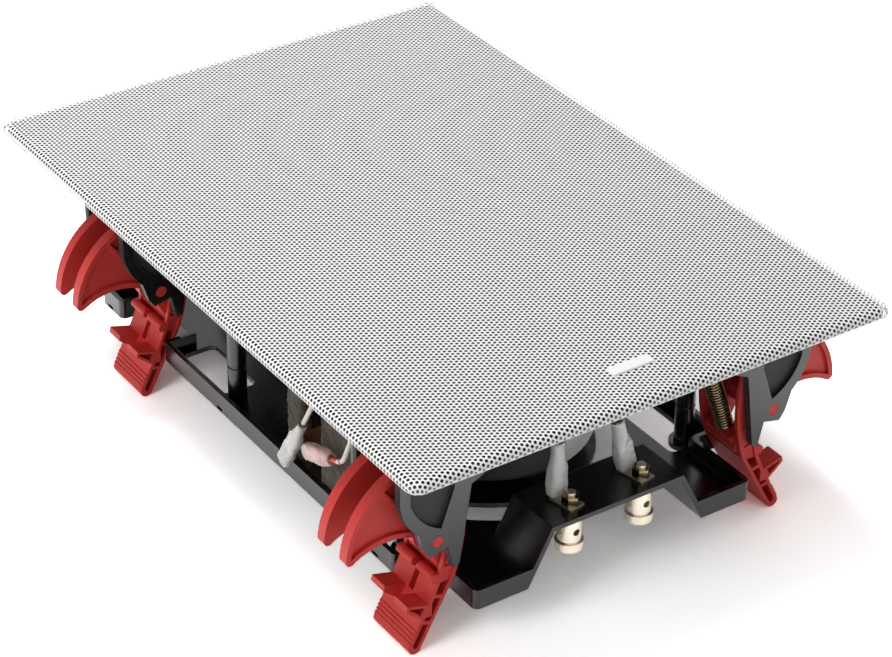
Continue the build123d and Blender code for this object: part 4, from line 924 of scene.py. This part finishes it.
class SPEAKER_OT_stage(bpy.types.Operator):
    """Set up the camera, the lights and the white floor"""

    bl_idname = "speaker.stage"
    bl_label = "Stage"

    def execute(self, context):
        scene = context.scene
        scene.view_settings.view_transform = "Standard"
        lens = bpy.data.cameras.new("photo_camera")
        lens.sensor_width, lens.sensor_fit = SENSOR, "HORIZONTAL"
        lens.lens = FOCAL_PIXELS / PHOTO_WIDTH * SENSOR
        lens.clip_start, lens.clip_end = 0.01, 50
        camera = bpy.data.objects.new("photo_camera", lens)
        camera.location = CAMERA_PLACE
        camera.rotation_mode = "QUATERNION"
        aim = (CAMERA_AIM - CAMERA_PLACE).to_track_quat("-Z", "Y")
        camera.rotation_quaternion = aim @ Quaternion((0, 0, 1), CAMERA_ROLL)
        scene.collection.objects.link(camera)
        scene.camera = camera
        # Floor: matt white, and to the camera and in reflections as bright as an overexposed sweep
        paper, tree = start_finish("White studio paper")
        camera_ray, seen = seen_rays(tree)
        plain, gain = linear("#F2F2F2"), (FLOOR_GAIN, FLOOR_GAIN, FLOOR_GAIN, 1.0)
        bright = add(tree, "ShaderNodeMix", {0: seen, 6: plain, 7: gain}, data_type="RGBA").outputs[2]
        matt = add(tree, "ShaderNodeBsdfDiffuse", {"Color": bright})
        lift = add(tree, "ShaderNodeMath", {0: seen, 1: FLOOR_LIFT}, operation="MULTIPLY")
        # The far floor gets little light, so there it turns white to the camera by itself
        spot = add(tree, "ShaderNodeNewGeometry").outputs["Position"]
        away = add(tree, "ShaderNodeVectorMath", {0: spot}, operation="LENGTH").outputs["Value"]
        far = add(tree, "ShaderNodeMapRange", {0: away, 1: FAR_WHITE[0], 2: FAR_WHITE[1], 3: 0.0, 4: 1.0})
        white = add(tree, "ShaderNodeMath", {0: far.outputs[0], 1: camera_ray}, operation="MULTIPLY")
        strength = add(tree, "ShaderNodeMath", {0: lift.outputs[0], 1: white.outputs[0]}, operation="ADD")
        glow = add(tree, "ShaderNodeEmission", {"Strength": strength.outputs[0]})
        end_finish(tree, add(tree, "ShaderNodeAddShader", {0: matt.outputs[0], 1: glow.outputs[0]}))
        floor_z = cad_box[0].z
        corners = ((-1, -1), (1, -1), (1, 1), (-1, 1))
        outline = [(x * FLOOR_REACH, y * FLOOR_REACH, floor_z) for x, y in corners]
        floor = new_piece("floor", outline, [(0, 1, 2, 3)], paper, smooth=False)
        # World: an even soft light, and white to the camera and in reflections
        world = bpy.data.worlds.new("studio")
        world.use_nodes = True
        scene.world = world
        tree = world.node_tree
        tree.nodes.clear()
        _, seen = seen_rays(tree)
        skies = [
            add(tree, "ShaderNodeBackground", {"Color": (1, 1, 1, 1), "Strength": strength}).outputs[0]
            for strength in (WORLD_LIGHT, 1.0)
        ]
        mix = add(tree, "ShaderNodeMixShader", {0: seen, 1: skies[0], 2: skies[1]})
        add(tree, "ShaderNodeOutputWorld", {"Surface": mix.outputs[0]})
        for name, place, size, power in LAMPS:
            lamp = bpy.data.lights.new(name, "AREA")
            lamp.size, lamp.energy = size, power
            holder = bpy.data.objects.new(name, lamp)
            holder.location = place
            holder.rotation_mode = "QUATERNION"
            holder.rotation_quaternion = (LAMP_AIM - Vector(place)).to_track_quat("-Z", "Y")
            scene.collection.objects.link(holder)
        return {"FINISHED"}


OPERATORS = (
    SPEAKER_OT_stage,
    SPEAKER_OT_grille,
    SPEAKER_OT_scrim,
    SPEAKER_OT_mouldings,
    SPEAKER_OT_clamps,
    SPEAKER_OT_springs,
    SPEAKER_OT_terminals,
    SPEAKER_OT_sleeves,
    SPEAKER_OT_leads,
    SPEAKER_OT_felt,
    SPEAKER_OT_drivers,
    SPEAKER_OT_crossover,
)


class SPEAKER_PT_looks(bpy.types.Panel):
    """Sizes, colours and pieces of the speaker"""

    bl_idname = "SPEAKER_PT_looks"
    bl_label = "In-Wall Speaker"
    bl_space_type = "VIEW_3D"
    bl_region_type = "UI"
    bl_category = "Speaker"

    def draw(self, context):
        for group in (context.scene.speaker_sizes, context.scene.speaker_colours):
            box = self.layout.box()
            for name in group.__annotations__:
                box.prop(group, name)
        for operator in OPERATORS:
            self.layout.operator(operator.bl_idname)


CLASSES = (SpeakerSizes, SpeakerColours, *OPERATORS, SPEAKER_PT_looks)


def register():
    """Register the classes and hang the sizes and colours on the scene."""
    for item in CLASSES:
        bpy.utils.register_class(item)
    bpy.types.Scene.speaker_sizes = bpy.props.PointerProperty(type=SpeakerSizes)
    bpy.types.Scene.speaker_colours = bpy.props.PointerProperty(type=SpeakerColours)


def unregister():
    """Take away what register added."""
    del bpy.types.Scene.speaker_colours
    del bpy.types.Scene.speaker_sizes
    for item in reversed(CLASSES):
        bpy.utils.unregister_class(item)


def main():
    """Dress the speaker piece by piece."""
    register()
    bpy.ops.speaker.stage()
    bpy.ops.speaker.grille()
    bpy.ops.speaker.scrim()
    bpy.ops.speaker.mouldings()
    bpy.ops.speaker.clamps()
    bpy.ops.speaker.springs()
    bpy.ops.speaker.terminals()
    bpy.ops.speaker.sleeves()
    bpy.ops.speaker.leads()
    bpy.ops.speaker.felt()
    bpy.ops.speaker.drivers()
    bpy.ops.speaker.crossover()


if __name__ == "__main__":
    main()
